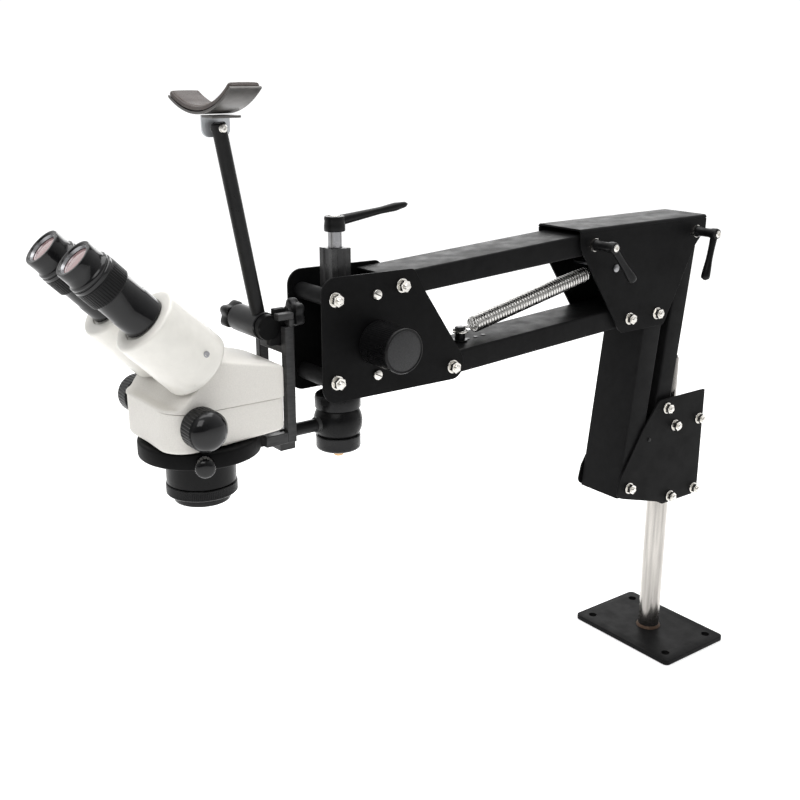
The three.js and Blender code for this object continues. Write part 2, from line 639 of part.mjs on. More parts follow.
function cradle(parent) {
  const { x, z, r, length, roll } = CRADLE;
  const plate = cradleArc(r - 2, r, length).rotateX(roll);
  node('cradle_plate', plate.translate(x, 0, z), DARK_STEEL, parent);
  const pad = cradleArc(r - 6.5, r - 2 - GAP, length - 1).rotateX(roll);
  node('cradle_pad', pad.translate(x, 0, z), LEATHER, parent);
  const pin = [TILT[0] + PIN_REACH * Math.sin(POST_LEAN), TILT[1] + PIN_REACH * Math.cos(POST_LEAN)];
  const ear = plateXZ(outline([[-577, 614, 6], [-552, 614, 6], [-552, z - 1], [-577, z - 1]]), 6.6, 8.6);
  const shelf = box(-577, -552, -13, 8.6, z - 3, z - 1);
  const screw = turned([[0, -8], [2, -8], [2, 6 + GAP], [4, 6 + GAP], [4, 8], [2.4, 9.2], [0, 9.2]], 10);
  const bracket = join(ear, shelf, alongY(screw, pin[0], 0, pin[1]));
  node('cradle_bracket', bracket, ZINC, parent);
}

// ---- microscope body ----------------------------------------------------

function planShape(inset) {
  const front = -646 + inset;
  const rear = -532.5 - inset;
  const wide = 52 - inset;
  const narrow = 37.5 - inset;
  return outline([[front, -wide, 22], [rear, -narrow, 12], [rear, narrow, 12], [front, wide, 22]]);
}

function casings(parent) {
  const below = box(-700, -500, -80, 80, 300, SEAM_Z);
  const shell = common(blockXY(planShape(1), 375, 430, 5), below);
  const room = blockXY(planShape(4), 378, 430, 4);
  const neckHole = rod(30, 365, 385, SEG_LARGE).translate(OPTIC_X, 0, 0);
  const shaftHole = crossRod(bearing(5), ZOOM, -80, 80);
  node('lower_casing', cut(shell, room, neckHole, shaftHole), IVORY, parent);
  node('top_cover', topCover(), IVORY, parent);
}

const RIDGE = { x: -602, z: 447 };
const LEDGE_Z = 413;
function coverProfile(inset) {
  const base = SEAM_Z + GAP;
  const seatX = RIDGE.x - (RIDGE.z - LEDGE_Z);
  const shape = outline([[-660, base], [-520, base], [-520, 426.5 - inset],
    [RIDGE.x + inset * 0.6, RIDGE.z - inset, 1], [seatX + inset * 0.6, LEDGE_Z - inset, 1],
    [-660, LEDGE_Z - inset]]);
  return plateXZ(shape, -80, 80);
}

function topCover() {
  const block = blockXY(planShape(0), 370, 452, 5);
  const shell = common(block, coverProfile(0));
  const room = common(blockXY(planShape(3), 370, 449, 3), coverProfile(3.4));
  room.translate(0, 0, -0.5);
  return cut(shell, room);
}

function optics(parent) {
  const barrel = turned([[24, 325.3], [27.5, 325.3], [27.5, 334], [29.3, 334], [29.3, 359.8],
    [37.7, 359.8], [37.7, 374.7], [24, 374.7], [24, 325.3]], 24);
  const tap = alongY(rod(2.5, 36.9, 60), 0, 0, RING.screwZ).rotateZ(SCREW_TURN);
  node('objective_barrel', cut(barrel, tap).translate(OPTIC_X, 0, 0), ANODISED, parent);
  const ring = turned([[21, 317.5], [23.7, 317.5], [24.5, 324.3], [30.2, 324.3], [30.2, 333.7],
    [27.8, 333.7], [27.8, 325], [21, 325], [21, 317.5]], 24);
  node('objective_ring', ring.translate(OPTIC_X, 0, 0), PLASTIC, parent);
  const lens = turned([[0, 328.2], [12, 327.4], [23.7, 325.8], [23.7, 332.5], [0, 332.5]], SEG_LARGE);
  node('objective_lens', lens.translate(OPTIC_X, 0, 0), GLASS, parent);
}

// The two zoom knobs, pressed on one shaft.
function zoomKnobs(parent) {
  const grip = [[0, 0], [16.8, 0], [16.8, 16], [15, 20.5], [9, 23.8], [0, 24.8]];
  const near = alongY(turned(grip, SEG_LARGE), ZOOM[0], -51.2, ZOOM[1]);
  const far = alongY(turned(grip, SEG_LARGE).rotateX(Math.PI), ZOOM[0], 51.2, ZOOM[1]);
  node('zoom_knobs', join(near, far, crossRod(5, ZOOM, -52, 52)), PLASTIC, parent);
}

// ---- binocular head -----------------------------------------------------

// One eyepiece with its prism housing, in a frame whose Z is the eyepiece axis
// and whose X leans back and up. side is -1 for near, 1 for far.
function binocularFrame(parent, side) {
  const frame = new THREE.Group();
  frame.position.set(BINO.x, side * BINO.y, BINO.z);
  frame.rotation.y = BINO.tilt;
  parent.add(frame);
  return frame;
}

const HOUSING_TOP = 63;
function prismHousing(name, parent, side) {
  const frame = binocularFrame(parent, side);
  const body = turned([[0, 0.5], [24, 0.5], [28.8, 5], [28.8, HOUSING_TOP - 3], [26, HOUSING_TOP],
    [0, HOUSING_TOP]], 24);
  const bore = rod(15, -5, 80, SEG_LARGE);
  node(`prism_housing_${name}`, cut(body.translate(-1.5, 0, 0), bore), IVORY, frame);
}

const EYE_BASE = 71.8;
function eyepiece(name, parent, side) {
  const frame = binocularFrame(parent, side);
  const foot = HOUSING_TOP + GAP;
  const tube = turned([[12, foot], [17.8, foot], [17.8, EYE_BASE + 10], [17.2, EYE_BASE + 26.6],
    [15.6, EYE_BASE + 26.6], [15.6, EYE_BASE + 42.6], [17.8, EYE_BASE + 42.6], [17.8, EYE_BASE + 48],
    [16, EYE_BASE + 50], [16.6, EYE_BASE + 63], [13.8, EYE_BASE + 63], [12, EYE_BASE + 57],
    [12, foot]], SEG_LARGE);
  node(`eyepiece_${name}`, tube, PLASTIC, frame);
  const lens = turned([[0, 52], [11.7, 52], [11.7, 56], [0, 57.5]], SEG_LARGE);
  node(`eye_lens_${name}`, lens.translate(0, 0, EYE_BASE), GLASS, frame);
}

function diopterRing(name, parent, side) {
  const frame = binocularFrame(parent, side);
  const ring = tubing(18.6, 15.9, EYE_BASE + 26.9, EYE_BASE + 42.3, SEG_LARGE);
  node(`diopter_ring_${name}`, ring, PLASTIC, frame);
}

// ---- assembly -----------------------------------------------------------

const part = new THREE.Group();
const stand = new THREE.Group();
stand.position.z = PLATE.t;
part.add(stand);

basePlate(stand);
column(stand);
lowerBracket(stand);
lowerStage(stand);
elbow(stand);
clampLever('clamp_lever_front', UPPER_REAR, THREE.MathUtils.degToRad(-48), stand);
clampLever('clamp_lever_rear', LINK_HEAD, THREE.MathUtils.degToRad(-102), stand);
upperStage(stand);
balanceSpring(stand);
head(stand);
focusDrive(stand);
mast(stand);
topLever(stand);
drawRod(stand);
ball(stand);
carrier(stand);
ringScrew(stand);
carrierKnob(stand);
headrestArm(stand);
tiltKnob(stand);
cradle(stand);
casings(stand);
optics(stand);
zoomKnobs(stand);
for (const [name, side] of [['near', -1], ['far', 1]]) {
  prismHousing(name, stand, side);
  eyepiece(name, stand, side);
  diopterRing(name, stand, side);
}

export default part;
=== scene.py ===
"""Looks for the stereo microscope on its two-stage bench arm.

Lengths here are millimetres from the top face of the base plate, in the axes
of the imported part. Every piece is turned into metres in the row frame by
to_row(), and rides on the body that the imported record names.
"""

import json
import random
from math import ceil, cos, exp, pi, radians, sin, sqrt, tan

import bmesh
import bpy
from mathutils import Matrix, Vector


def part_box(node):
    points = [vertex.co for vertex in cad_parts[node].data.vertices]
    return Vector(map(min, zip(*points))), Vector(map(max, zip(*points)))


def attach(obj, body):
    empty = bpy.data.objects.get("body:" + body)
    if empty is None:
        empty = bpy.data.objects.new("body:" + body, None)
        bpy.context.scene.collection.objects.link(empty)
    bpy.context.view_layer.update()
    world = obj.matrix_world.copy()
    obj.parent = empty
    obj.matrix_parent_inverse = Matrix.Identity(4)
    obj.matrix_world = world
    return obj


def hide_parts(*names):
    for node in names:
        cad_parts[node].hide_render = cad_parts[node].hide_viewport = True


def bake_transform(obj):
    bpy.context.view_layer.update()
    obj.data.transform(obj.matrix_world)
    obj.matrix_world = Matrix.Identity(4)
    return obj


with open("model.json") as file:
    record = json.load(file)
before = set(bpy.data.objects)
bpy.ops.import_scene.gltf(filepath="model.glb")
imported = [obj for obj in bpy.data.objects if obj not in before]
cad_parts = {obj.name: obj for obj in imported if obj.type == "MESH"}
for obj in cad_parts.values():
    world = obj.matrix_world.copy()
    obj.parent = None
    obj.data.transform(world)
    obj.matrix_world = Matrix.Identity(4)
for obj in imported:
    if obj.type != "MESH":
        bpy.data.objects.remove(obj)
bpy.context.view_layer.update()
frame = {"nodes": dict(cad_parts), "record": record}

MM = 0.001
PLATE_T = 6.0       # thickness of the base plate
SIDE_HALF = 30.5    # half width over the bracket's and the elbow's side plates
HEAD_HALF = 28.2    # half width over the head's side plates
SHEET = 2.0         # thickness of all those plates
BEND_Z = 508.6      # where the elbow's sheet starts to fold over its top
BEND_R = 3.2        # outer radius of that fold
WELD_GAP = 1e-6     # points closer than this are merged, in metres
JOINTS = {j["name"]: j for j in frame["record"]["behaviour"]["joints"]}


# ---- places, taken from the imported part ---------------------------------

def to_row(x, y, z):
    return Vector((x * MM, y * MM, (z + PLATE_T) * MM))


def pivot(joint):
    """Where a hinge's axis is, in millimetres over the base plate's top."""
    x, y, z = JOINTS[joint]["pos_m"]
    return Vector((x / MM, y / MM, z / MM - PLATE_T))


def middle(node):
    """The middle of a CAD node's box, in millimetres."""
    low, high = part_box(node)
    m = (Vector(low) + Vector(high)) / 2
    return Vector((m.x / MM, m.y / MM, m.z / MM - PLATE_T))


# ---- mesh making --------------------------------------------------------

def new_object(name, data):
    obj = bpy.data.objects.new(name, data)
    bpy.context.scene.collection.objects.link(obj)
    return obj


def clean_mesh(name, verts, faces):
    """A mesh from points in millimetres, its faces turned outwards."""
    mesh = bpy.data.meshes.new(name)
    mesh.from_pydata([to_row(*v) for v in verts], [], faces)
    bm = bmesh.new()
    bm.from_mesh(mesh)
    bmesh.ops.remove_doubles(bm, verts=bm.verts, dist=WELD_GAP)
    bmesh.ops.recalc_face_normals(bm, faces=bm.faces)
    bm.to_mesh(mesh)
    bm.free()
    return mesh


def settle(obj, body, slot=None, node=None):
    """Puts a piece on its body and hides the CAD node it replaces; its slot is not used."""
    if body:
        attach(obj, body)
    if node:
        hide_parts(node)


def build(name, verts, faces, body, material, slot=None, node=None, smooth=40, bevel=0.0):
    """A piece from points in millimetres. It has no body yet if it is still to
    be cut or shaped; the spring's hook never gets one."""
    mesh = clean_mesh(name, verts, faces)
    mesh.materials.append(material)
    obj = new_object(name, mesh)
    if bevel:
        mod = obj.modifiers.new("edge", "BEVEL")
        mod.width = bevel * MM
        mod.segments = 2
        mod.limit_method = "ANGLE"
        mod.angle_limit = radians(38)
    shade(obj, smooth)
    settle(obj, body, slot, node)
    return obj


def shade(obj, angle):
    """Smooth shading up to an angle, set on the mesh's own edges."""
    mesh = obj.data
    for poly in mesh.polygons:
        poly.use_smooth = True
    mesh.set_sharp_from_angle(angle=radians(angle))


def cut_from(obj, tool):
    """Cuts a tool given as verts and faces out of obj, for good."""
    cutter = new_object("tool", clean_mesh("tool", *tool))
    mod = obj.modifiers.new("cut", "BOOLEAN")
    mod.object = cutter
    mod.solver = "EXACT"
    graph = bpy.context.evaluated_depsgraph_get()
    result = bpy.data.meshes.new_from_object(obj.evaluated_get(graph))
    obj.modifiers.clear()
    obj.data = result
    bpy.data.objects.remove(cutter)
    shade(obj, 35)


def rounded(corners, steps=10):
    """Outline points from [x, y, radius] corners, each corner a true arc."""
    points = []
    count = len(corners)
    for i, (x, y, r) in enumerate(corners):
        here = Vector((x, y))
        before = (Vector(corners[i - 1][:2]) - here).normalized()
        after = (Vector(corners[(i + 1) % count][:2]) - here).normalized()
        if r <= 0:
            points.append(here)
            continue
        half = before.angle(after) / 2
        centre = here + (before + after).normalized() * (r / sin(half))
        start = here + before * (r / tan(half)) - centre
        end = here + after * (r / tan(half)) - centre
        turn = start.angle_signed(end)
        for k in range(steps + 1):
            swing = Matrix.Rotation(-turn * k / steps, 2)
            points.append(centre + swing @ start)
    return points


def slab(outline, low, high, place):
    """Verts and faces of an outline pushed from low to high. place(x, y, h)
    gives a point in millimetres."""
    count = len(outline)
    verts = [place(p.x, p.y, low) for p in outline] + [place(p.x, p.y, high) for p in outline]
    faces = [tuple(range(count)), tuple(reversed(range(count, 2 * count)))]
    for i in range(count):
        j = (i + 1) % count
        faces.append((i, i + count, j + count, j))
    return verts, faces


def in_xz(x, y, h):
    return (x, h, y)


def in_xy(x, y, h):
    return (x, y, h)


def ring(outer, inner, low, high, place):
    """An outline with a matching inner outline cut right through it."""
    count = len(outer)
    verts = []
    for h in (low, high):
        verts += [place(p.x, p.y, h) for p in outer]
        verts += [place(p.x, p.y, h) for p in inner]
    faces = []
    for i in range(count):
        j = (i + 1) % count
        a, b, c, d = 0, count, 2 * count, 3 * count
        faces += [(a + i, a + j, b + j, b + i), (c + i, d + i, d + j, c + j),
                  (a + i, c + i, c + j, a + j), (b + i, b + j, d + j, d + i)]
    return verts, faces


def lathe(profile, steps=48, place=None, lobes=None):
    """A turned piece from [radius, height] pairs. lobes(angle, height) can
    scale the radius. place(x, y, h) puts its points in millimetres."""
    place = place or in_xy
    verts, faces, rows = [], [], []
    for r, h in profile:
        if r < 1e-6:
            rows.append([len(verts)] * steps)
            verts.append(place(0, 0, h))
            continue
        rows.append(list(range(len(verts), len(verts) + steps)))
        for k in range(steps):
            angle = 2 * pi * k / steps
            scale = lobes(angle, h) if lobes else 1.0
            verts.append(place(r * scale * cos(angle), r * scale * sin(angle), h))
    for low, high in zip(rows, rows[1:]):
        for k in range(steps):
            j = (k + 1) % steps
            face = []
            for v in (low[k], low[j], high[j], high[k]):
                if v not in face:
                    face.append(v)
            if len(face) > 2:
                faces.append(tuple(face))
    return verts, faces


def join(*parts):
    verts, faces = [], []
    for more_verts, more_faces in parts:
        start = len(verts)
        verts += list(more_verts)
        faces += [tuple(i + start for i in face) for face in more_faces]
    return verts, faces


def on_y(x, z, y=0.0, sign=-1):
    """Places a turned piece with its axis along Y, growing towards sign."""
    def place(a, b, h):
        return (x + a, y + sign * h, z + b)
    return place


def on_x(x, y, z, sign=1):
    def place(a, b, h):
        return (x + sign * h, y + a, z + b)
    return place


def on_z(x, y):
    def place(a, b, h):
        return (x + a, y + b, h)
    return place


def along(origin, direction, up=(0, 1, 0)):
    """Places a piece with its height along any direction."""
    w = Vector(direction).normalized()
    if abs(w.dot(Vector(up).normalized())) > 0.9:
        up = (0, 0, 1)
    v = Vector(up)
    v = (v - w * v.dot(w)).normalized()
    u = v.cross(w)
    base = Vector(origin)

    def place(a, b, h):
        return tuple(base + u * a + v * b + w * h)
    return place


def skin(rows, count):
    """Faces between closed rows of points, and over both ends."""
    faces = []
    for a in range(0, (rows - 1) * count, count):
        for i in range(count):
            j = (i + 1) % count
            faces.append((a + i, a + j, a + count + j, a + count + i))
    faces.append(tuple(reversed(range(count))))
    faces.append(tuple(range((rows - 1) * count, rows * count)))
    return faces


def rod(r, low, high):
    """A plain rod's profile for lathe()."""
    return [[0, low], [r, low], [r, high], [0, high]]


def block(x0, x1, y0, y1, z0, z1):
    verts = [(x, y, z) for x in (x0, x1) for y in (y0, y1) for z in (z0, z1)]
    faces = [(0, 1, 3, 2), (4, 6, 7, 5), (0, 4, 5, 1), (2, 3, 7, 6), (0, 2, 6, 4), (1, 5, 7, 3)]
    return verts, faces


def sweep(path, radius, sides):
    """A round tube along a path of points; radius is a number or a function
    of how far along the path a point is, from 0 to 1."""
    verts = []
    count = len(path)
    normal = None
    for i, p in enumerate(path):
        ahead = Vector(path[min(i + 1, count - 1)]) - Vector(path[max(i - 1, 0)])
        ahead.normalize()
        if normal is None:
            normal = ahead.orthogonal().normalized()
        normal = (normal - ahead * normal.dot(ahead)).normalized()
        across = ahead.cross(normal)
        r = radius(i / (count - 1)) if callable(radius) else radius
        for k in range(sides):
            angle = 2 * pi * k / sides
            offset = normal * (r * cos(angle)) + across * (r * sin(angle))
            verts.append(tuple(Vector(p) + offset))
    return verts, skin(count, sides)


# ---- materials ----------------------------------------------------------

def put(node, values):
    for key, value in values.items():
        node.inputs[key].default_value = value


def map_range(tree, low, high, to_low=0.0, to_high=1.0):
    node = tree.nodes.new("ShaderNodeMapRange")
    put(node, {"From Min": low, "From Max": high, "To Min": to_low, "To Max": to_high})
    return node


def shader(name, color, roughness, metallic=0.0, grain=300.0, bump=0.1, bump_scale=600.0,
           vary=0.15, rough_vary=0.15, stretch=(1, 1, 1), edge_wear_and_highlight=None, coat=0.0, specular=0.5):
    """A procedural surface: colour mottling, uneven gloss, fine bump and lighter
    edges: worn metal on most pieces, a painted highlight on the frame and cradle sheet."""
    mat = bpy.data.materials.new(name)
    mat.use_nodes = True
    tree = mat.node_tree
    add, link = tree.nodes.new, tree.links.new
    bsdf = tree.nodes["Principled BSDF"]
    put(bsdf, {"Metallic": metallic, "Coat Weight": coat, "Coat Roughness": 0.08,
               "Specular IOR Level": specular})
    coords = add("ShaderNodeTexCoord")
    mapping = add("ShaderNodeMapping")
    put(mapping, {"Scale": stretch})
    link(coords.outputs["Object"], mapping.inputs["Vector"])

    def noise(scale, detail=4.0, rough=0.55):
        n = add("ShaderNodeTexNoise")
        put(n, {"Scale": scale, "Detail": detail, "Roughness": rough})
        link(mapping.outputs["Vector"], n.inputs["Vector"])
        return n

    blotch = noise(grain)
    ramp = add("ShaderNodeValToRGB")
    dark, light = ramp.color_ramp.elements
    dark.position, light.position = 0.3, 0.7
    dark.color = (*[c * (1 - vary) for c in color], 1)
    light.color = (*[min(1, c * (1 + vary)) for c in color], 1)
    link(blotch.outputs["Fac"], ramp.inputs["Fac"])
    surface = ramp.outputs["Color"]
    # Lighter edges: real wear on most materials, a painted highlight on the dark frame and the cradle
    # sheet.
    if edge_wear_and_highlight:
        edge_color, amount = edge_wear_and_highlight
        geometry = add("ShaderNodeNewGeometry")
        edge = map_range(tree, 0.53, 0.62)
        link(geometry.outputs["Pointiness"], edge.inputs["Value"])
        patch = noise(90.0, 6.0, 0.7)
        mask = add("ShaderNodeMath")
        mask.operation = "MULTIPLY"
        link(edge.outputs["Result"], mask.inputs[0])
        link(patch.outputs["Fac"], mask.inputs[1])
        scaled = add("ShaderNodeMath")
        scaled.operation = "MULTIPLY"
        scaled.use_clamp = True
        put(scaled, {1: amount})
        link(mask.outputs["Value"], scaled.inputs[0])
        mix = add("ShaderNodeMix")
        mix.data_type = "RGBA"
        put(mix, {7: (*edge_color, 1)})
        link(scaled.outputs["Value"], mix.inputs[0])
        link(surface, mix.inputs[6])
        surface = mix.outputs[2]
    link(surface, bsdf.inputs["Base Color"])
    gloss = noise(grain * 0.35, 5.0)
    spread = map_range(tree, 0.3, 0.7, max(0.02, roughness * (1 - rough_vary)),
                       min(1.0, roughness * (1 + rough_vary)))
    link(gloss.outputs["Fac"], spread.inputs["Value"])
    link(spread.outputs["Result"], bsdf.inputs["Roughness"])
    relief = noise(bump_scale, 3.0)
    dent = add("ShaderNodeBump")
    put(dent, {"Strength": bump, "Distance": 0.0002})
    link(relief.outputs["Fac"], dent.inputs["Height"])
    link(dent.outputs["Normal"], bsdf.inputs["Normal"])
    return mat


POWDER = shader("black_powder_coat", (0.0043, 0.0043, 0.0045), 0.46, grain=160, bump=0.22,
                bump_scale=1500, vary=0.18, rough_vary=0.2, edge_wear_and_highlight=((0.08, 0.08, 0.082), 0.4), specular=0.06)
COLUMN_STEEL = shader("polished_column", (0.44, 0.42, 0.395), 0.2, 1.0, grain=130, bump=0.05,
                      bump_scale=900, vary=0.38, rough_vary=0.3, stretch=(1, 1, 0.05))
WELD = shader("weld_bead", (0.07, 0.042, 0.026), 0.5, 0.6, grain=400, bump=0.6, bump_scale=700, vary=0.4)
ZINC = shader("zinc_hardware", (0.72, 0.70, 0.66), 0.22, 1.0, grain=350, bump=0.12, bump_scale=1800,
              vary=0.1, rough_vary=0.4, edge_wear_and_highlight=((0.9, 0.88, 0.84), 0.6))
SPRING = shader("spring_wire", (0.70, 0.69, 0.67), 0.26, 1.0, grain=500, bump=0.1, bump_scale=2500,
                vary=0.12, rough_vary=0.3)
ANODISED = shader("black_anodised", (0.010, 0.010, 0.0105), 0.3, 0.4, grain=260, bump=0.08,
                  bump_scale=2200, rough_vary=0.25, edge_wear_and_highlight=((0.2, 0.2, 0.2), 0.4), specular=0.2)
STEEL = shader("machined_steel", (0.30, 0.30, 0.31), 0.3, 1.0, bump=0.08, bump_scale=1800,
               vary=0.08, stretch=(1, 1, 8))
# Near-black frame; its light grey edge colour is a painted highlight for the light its edges reflect.
FRAME_GREY = shader("grey_frame", (0.0085, 0.0085, 0.009), 0.34, 0.3, grain=180, bump=0.1, bump_scale=1600,
                    vary=0.12, stretch=(1, 1, 5), edge_wear_and_highlight=((0.3, 0.3, 0.3), 0.5), specular=0.22)
BRACKET_GREY = shader("light_bracket", (0.55, 0.57, 0.59), 0.38, 0.7, grain=220, bump=0.08,
                      bump_scale=1800, vary=0.08, stretch=(5, 1, 1))
PLASTIC = shader("black_plastic", (0.0045, 0.0045, 0.0048), 0.3, grain=240, bump=0.25,
                 bump_scale=2600, vary=0.2, edge_wear_and_highlight=((0.05, 0.05, 0.05), 0.5), specular=0.15)
GLOSS = shader("gloss_black", (0.006, 0.006, 0.0065), 0.16, grain=200, bump=0.04, bump_scale=1200,
               vary=0.2, rough_vary=0.4, coat=0.2, specular=0.25)
KNOB_FACE = shader("knob_face", (0.022, 0.022, 0.023), 0.42, grain=700, bump=0.5, bump_scale=3800,
                   vary=0.3, specular=0.3)
IVORY = shader("ivory_shell", (0.66, 0.64, 0.60), 0.5, grain=900, bump=0.32, bump_scale=2600,
               vary=0.05, rough_vary=0.12)
IVORY_SMOOTH = shader("ivory_smooth", (0.70, 0.685, 0.64), 0.34, grain=120, bump=0.05,
                      bump_scale=900, vary=0.03, rough_vary=0.2, coat=0.2)
# Its light grey edges are a painted highlight for the thin shine along the sheet's edges.
CRADLE_METAL = shader("cradle_sheet_metal", (0.075, 0.07, 0.066), 0.32, 0.8, grain=200, bump=0.1,
                      bump_scale=1500, vary=0.15, edge_wear_and_highlight=((0.4, 0.4, 0.4), 0.6))
BRASS = shader("brass_tip", (0.55, 0.35, 0.19), 0.35, 1.0, bump=0.15, bump_scale=1500, vary=0.2)


THREAD = shader("thread", (0.16, 0.12, 0.10), 0.7, grain=900, bump=0.3, bump_scale=3000)


def leather_material():
    mat = shader("brown_leather", (0.042, 0.029, 0.024), 0.44, grain=140, bump=0.2,
                 bump_scale=900, vary=0.25, rough_vary=0.25)
    tree = mat.node_tree
    cells = tree.nodes.new("ShaderNodeTexVoronoi")
    cells.feature = "DISTANCE_TO_EDGE"
    put(cells, {"Scale": 620})
    coords = tree.nodes.new("ShaderNodeTexCoord")
    tree.links.new(coords.outputs["Object"], cells.inputs["Vector"])
    crease = map_range(tree, 0.0, 0.12)
    tree.links.new(cells.outputs["Distance"], crease.inputs["Value"])
    bump = tree.nodes.new("ShaderNodeBump")
    put(bump, {"Strength": 0.45, "Distance": 0.0004})
    tree.links.new(crease.outputs["Result"], bump.inputs["Height"])
    bsdf = tree.nodes["Principled BSDF"]
    fine = bsdf.inputs["Normal"].links[0].from_node
    tree.links.new(bump.outputs["Normal"], fine.inputs["Normal"])
    return mat


def glass_material():
    mat = shader("coated_glass", (0.42, 0.25, 0.25), 0.05, grain=60, bump=0.0, vary=0.08,
                 rough_vary=0.3, coat=1.0)
    put(mat.node_tree.nodes["Principled BSDF"], {"Transmission Weight": 0.35, "IOR": 1.5})
    return mat


LEATHER = leather_material()
GLASS = glass_material()


# ---- hardware -----------------------------------------------------------

def hexagon(r):
    return [Vector((r * cos(a), r * sin(a)))
            for a in (pi / 6 + pi * k / 3 for k in range(6))]


def nut_and_end(x, z, face, sign):
    """A washer, a hexagon nut and a bolt's domed end on one side of the arm."""
    bore, rim, thread, root = 3.2, 6.5, 2.95, 2.6
    place = on_y(x, z, 0.0, sign)
    base = face + 1.3
    top = base + 5.0
    washer = [[bore, face], [rim - 0.3, face], [rim, face + 0.3], [rim, face + 1.0],
              [rim - 0.3, base], [bore, base]]
    # Nuts stop at any angle, so each gets one from where it sits.
    spin = Matrix.Rotation(radians(13 * (x + z) % 60), 2)
    nut = slab([spin @ p for p in hexagon(5.6)], base, top, place)
    tip = [[0, top - 0.5], [thread, top - 0.5], [thread, top + 0.3], [root, top + 0.5],
           [thread, top + 0.8], [thread, top + 1.1], [root, top + 1.4], [2.9, top + 1.7],
           [2.2, top + 2.4], [0, top + 2.7]]
    return join(lathe(washer, 40, place), nut, lathe(tip, 32, place))


def through_bolt(node, body, half, x=None, tag=""):
    """Both ends of a bolt through the arm. It replaces its node, unless it is
    one of several through the same block, each with its own x and tag."""
    at = middle(node)
    ends = [nut_and_end(at.x if x is None else x, at.z, half, sign) for sign in (-1, 1)]
    build("hardware_" + node + tag, *join(*ends), body, ZINC, "zinc_hardware",
          None if tag else node, smooth=30, bevel=0.35)


def slotted_screw(name, x, z, half, body):
    profile = [[0, 0], [4.7, 0], [4.7, 1.6], [4.3, 2.3], [2.8, 2.9], [0, 3.0]]
    heads = [lathe(profile, 32, on_y(x, z, sign * half, sign)) for sign in (-1, 1)]
    build(name, *join(*heads), body, ZINC, "zinc_hardware", smooth=35)
    # Each slot is a thin black bar set into the zinc head: painted shade for the slot's dark recess.
    outline = [Vector(p) for p in ((-3.4, -0.45), (3.4, -0.45), (3.4, 0.45), (-3.4, 0.45))]
    slot_shades = [slab(outline, half + 1.9, half + 3.06, along((x, 0, z), (0, sign, 0), (0.5, 0, 1)))
             for sign in (-1, 1)]
    build(name + "_painted_slot_shade", *join(*slot_shades), body, PLASTIC, "black_plastic")


# ---- base and column ----------------------------------------------------

def base():
    outline = rounded([[-52.5, -74, 6], [52.5, -74, 6], [52.5, 74, 6], [-52.5, 74, 6]])
    plate = build("base_plate_shell", *slab(outline, -PLATE_T, 0, in_xy), None, POWDER, bevel=0.7)
    hole = [[0, -9], [4.5, -9], [4.5, -1.2], [6.2, 3], [0, 3]]
    cutters = [lathe(hole, 40, on_z(sx * 37.1, sy * 58.6)) for sx in (-1, 1) for sy in (-1, 1)]
    cut_from(plate, join(*cutters))
    settle(plate, "base", "black_powder_coat", "base_plate")
    tube = lathe([[12.5, 0.3], [12.5, 345], [11.8, 346.2], [0, 346.2]], 96)
    build("column_tube", *tube, "base", COLUMN_STEEL, "polished_column", "column")
    bead = lathe([[12.4, 3.2], [12.9, 2.8], [13.6, 1.9], [14.5, 0.9], [14.8, 0.35], [12.4, 0.3]], 96,
                 lobes=lambda a, h: 1 + 0.012 * sin(31 * a) * (1 if h < 4 else 0))
    build("column_weld", *bead, "base", WELD)
    cap = lathe([[0, 346.3], [11.2, 346.3], [11.2, 347.3], [10.4, 348.1], [0, 348.4]], 64)
    build("column_plug", *cap, "base", PLASTIC, "black_plastic")


# ---- lower bracket ------------------------------------------------------

def side_plates(name, node, corners, half, body):
    for side, low, high in (("near", -half, SHEET - half), ("far", half - SHEET, half)):
        build(name + side, *slab(rounded(corners), low, high, in_xz), body, POWDER,
              "black_powder_coat", node + side, bevel=0.45)


def lower_bracket():
    body = "lower_bracket"
    corners = [[-109, 206.5, 7.5], [-96, 201.5, 5], [-25, 180.5, 9], [33, 180.5, 6], [33, 308.5, 2],
               [-46, 308.5, 10], [-71, 279, 6], [-104, 227, 10]]
    side_plates("bracket_side_", "lower_bracket_plate_", corners, SIDE_HALF, body)
    reach = SIDE_HALF - SHEET - 0.3
    for end in ("lower", "upper"):
        node = "clamp_block_" + end
        z = middle(node).z
        shape = build("column_clamp_" + end, *block(-26, 32.5, -reach, reach, z - 9.5, z + 9.5),
                      None, POWDER, bevel=1.0)
        cut_from(shape, lathe(rod(12.9, z - 20, z + 20), 64))
        settle(shape, body, "black_powder_coat", node)
        for k, x in enumerate((-17, 25.5)):
            through_bolt(node, body, SIDE_HALF, x, "_%d" % k)
    through_bolt("tube_foot_bolt", body, SIDE_HALF)
    through_bolt("link_foot_bolt", body, SIDE_HALF)
    stop = lathe([[0, -0.2], [2.2, -0.2], [2.2, 0.8], [0, 1.2]], 24, on_y(-59.9, 264.9, -SIDE_HALF))
    build("bracket_stop_screw", *stop, body, PLASTIC)
    grip = lathe([[0, 0], [3, 0], [3, 4], [6.5, 4.4], [7, 5.4], [7, 11], [6.2, 12.2], [0, 12.6]], 60,
                 on_x(28, -4, 178), lobes=lambda a, h: 1 + (0.03 * cos(20 * a) if h > 4 else 0))
    build("height_clamp_screw", *grip, body, PLASTIC, "black_plastic")


# ---- tubes and beams ----------------------------------------------------

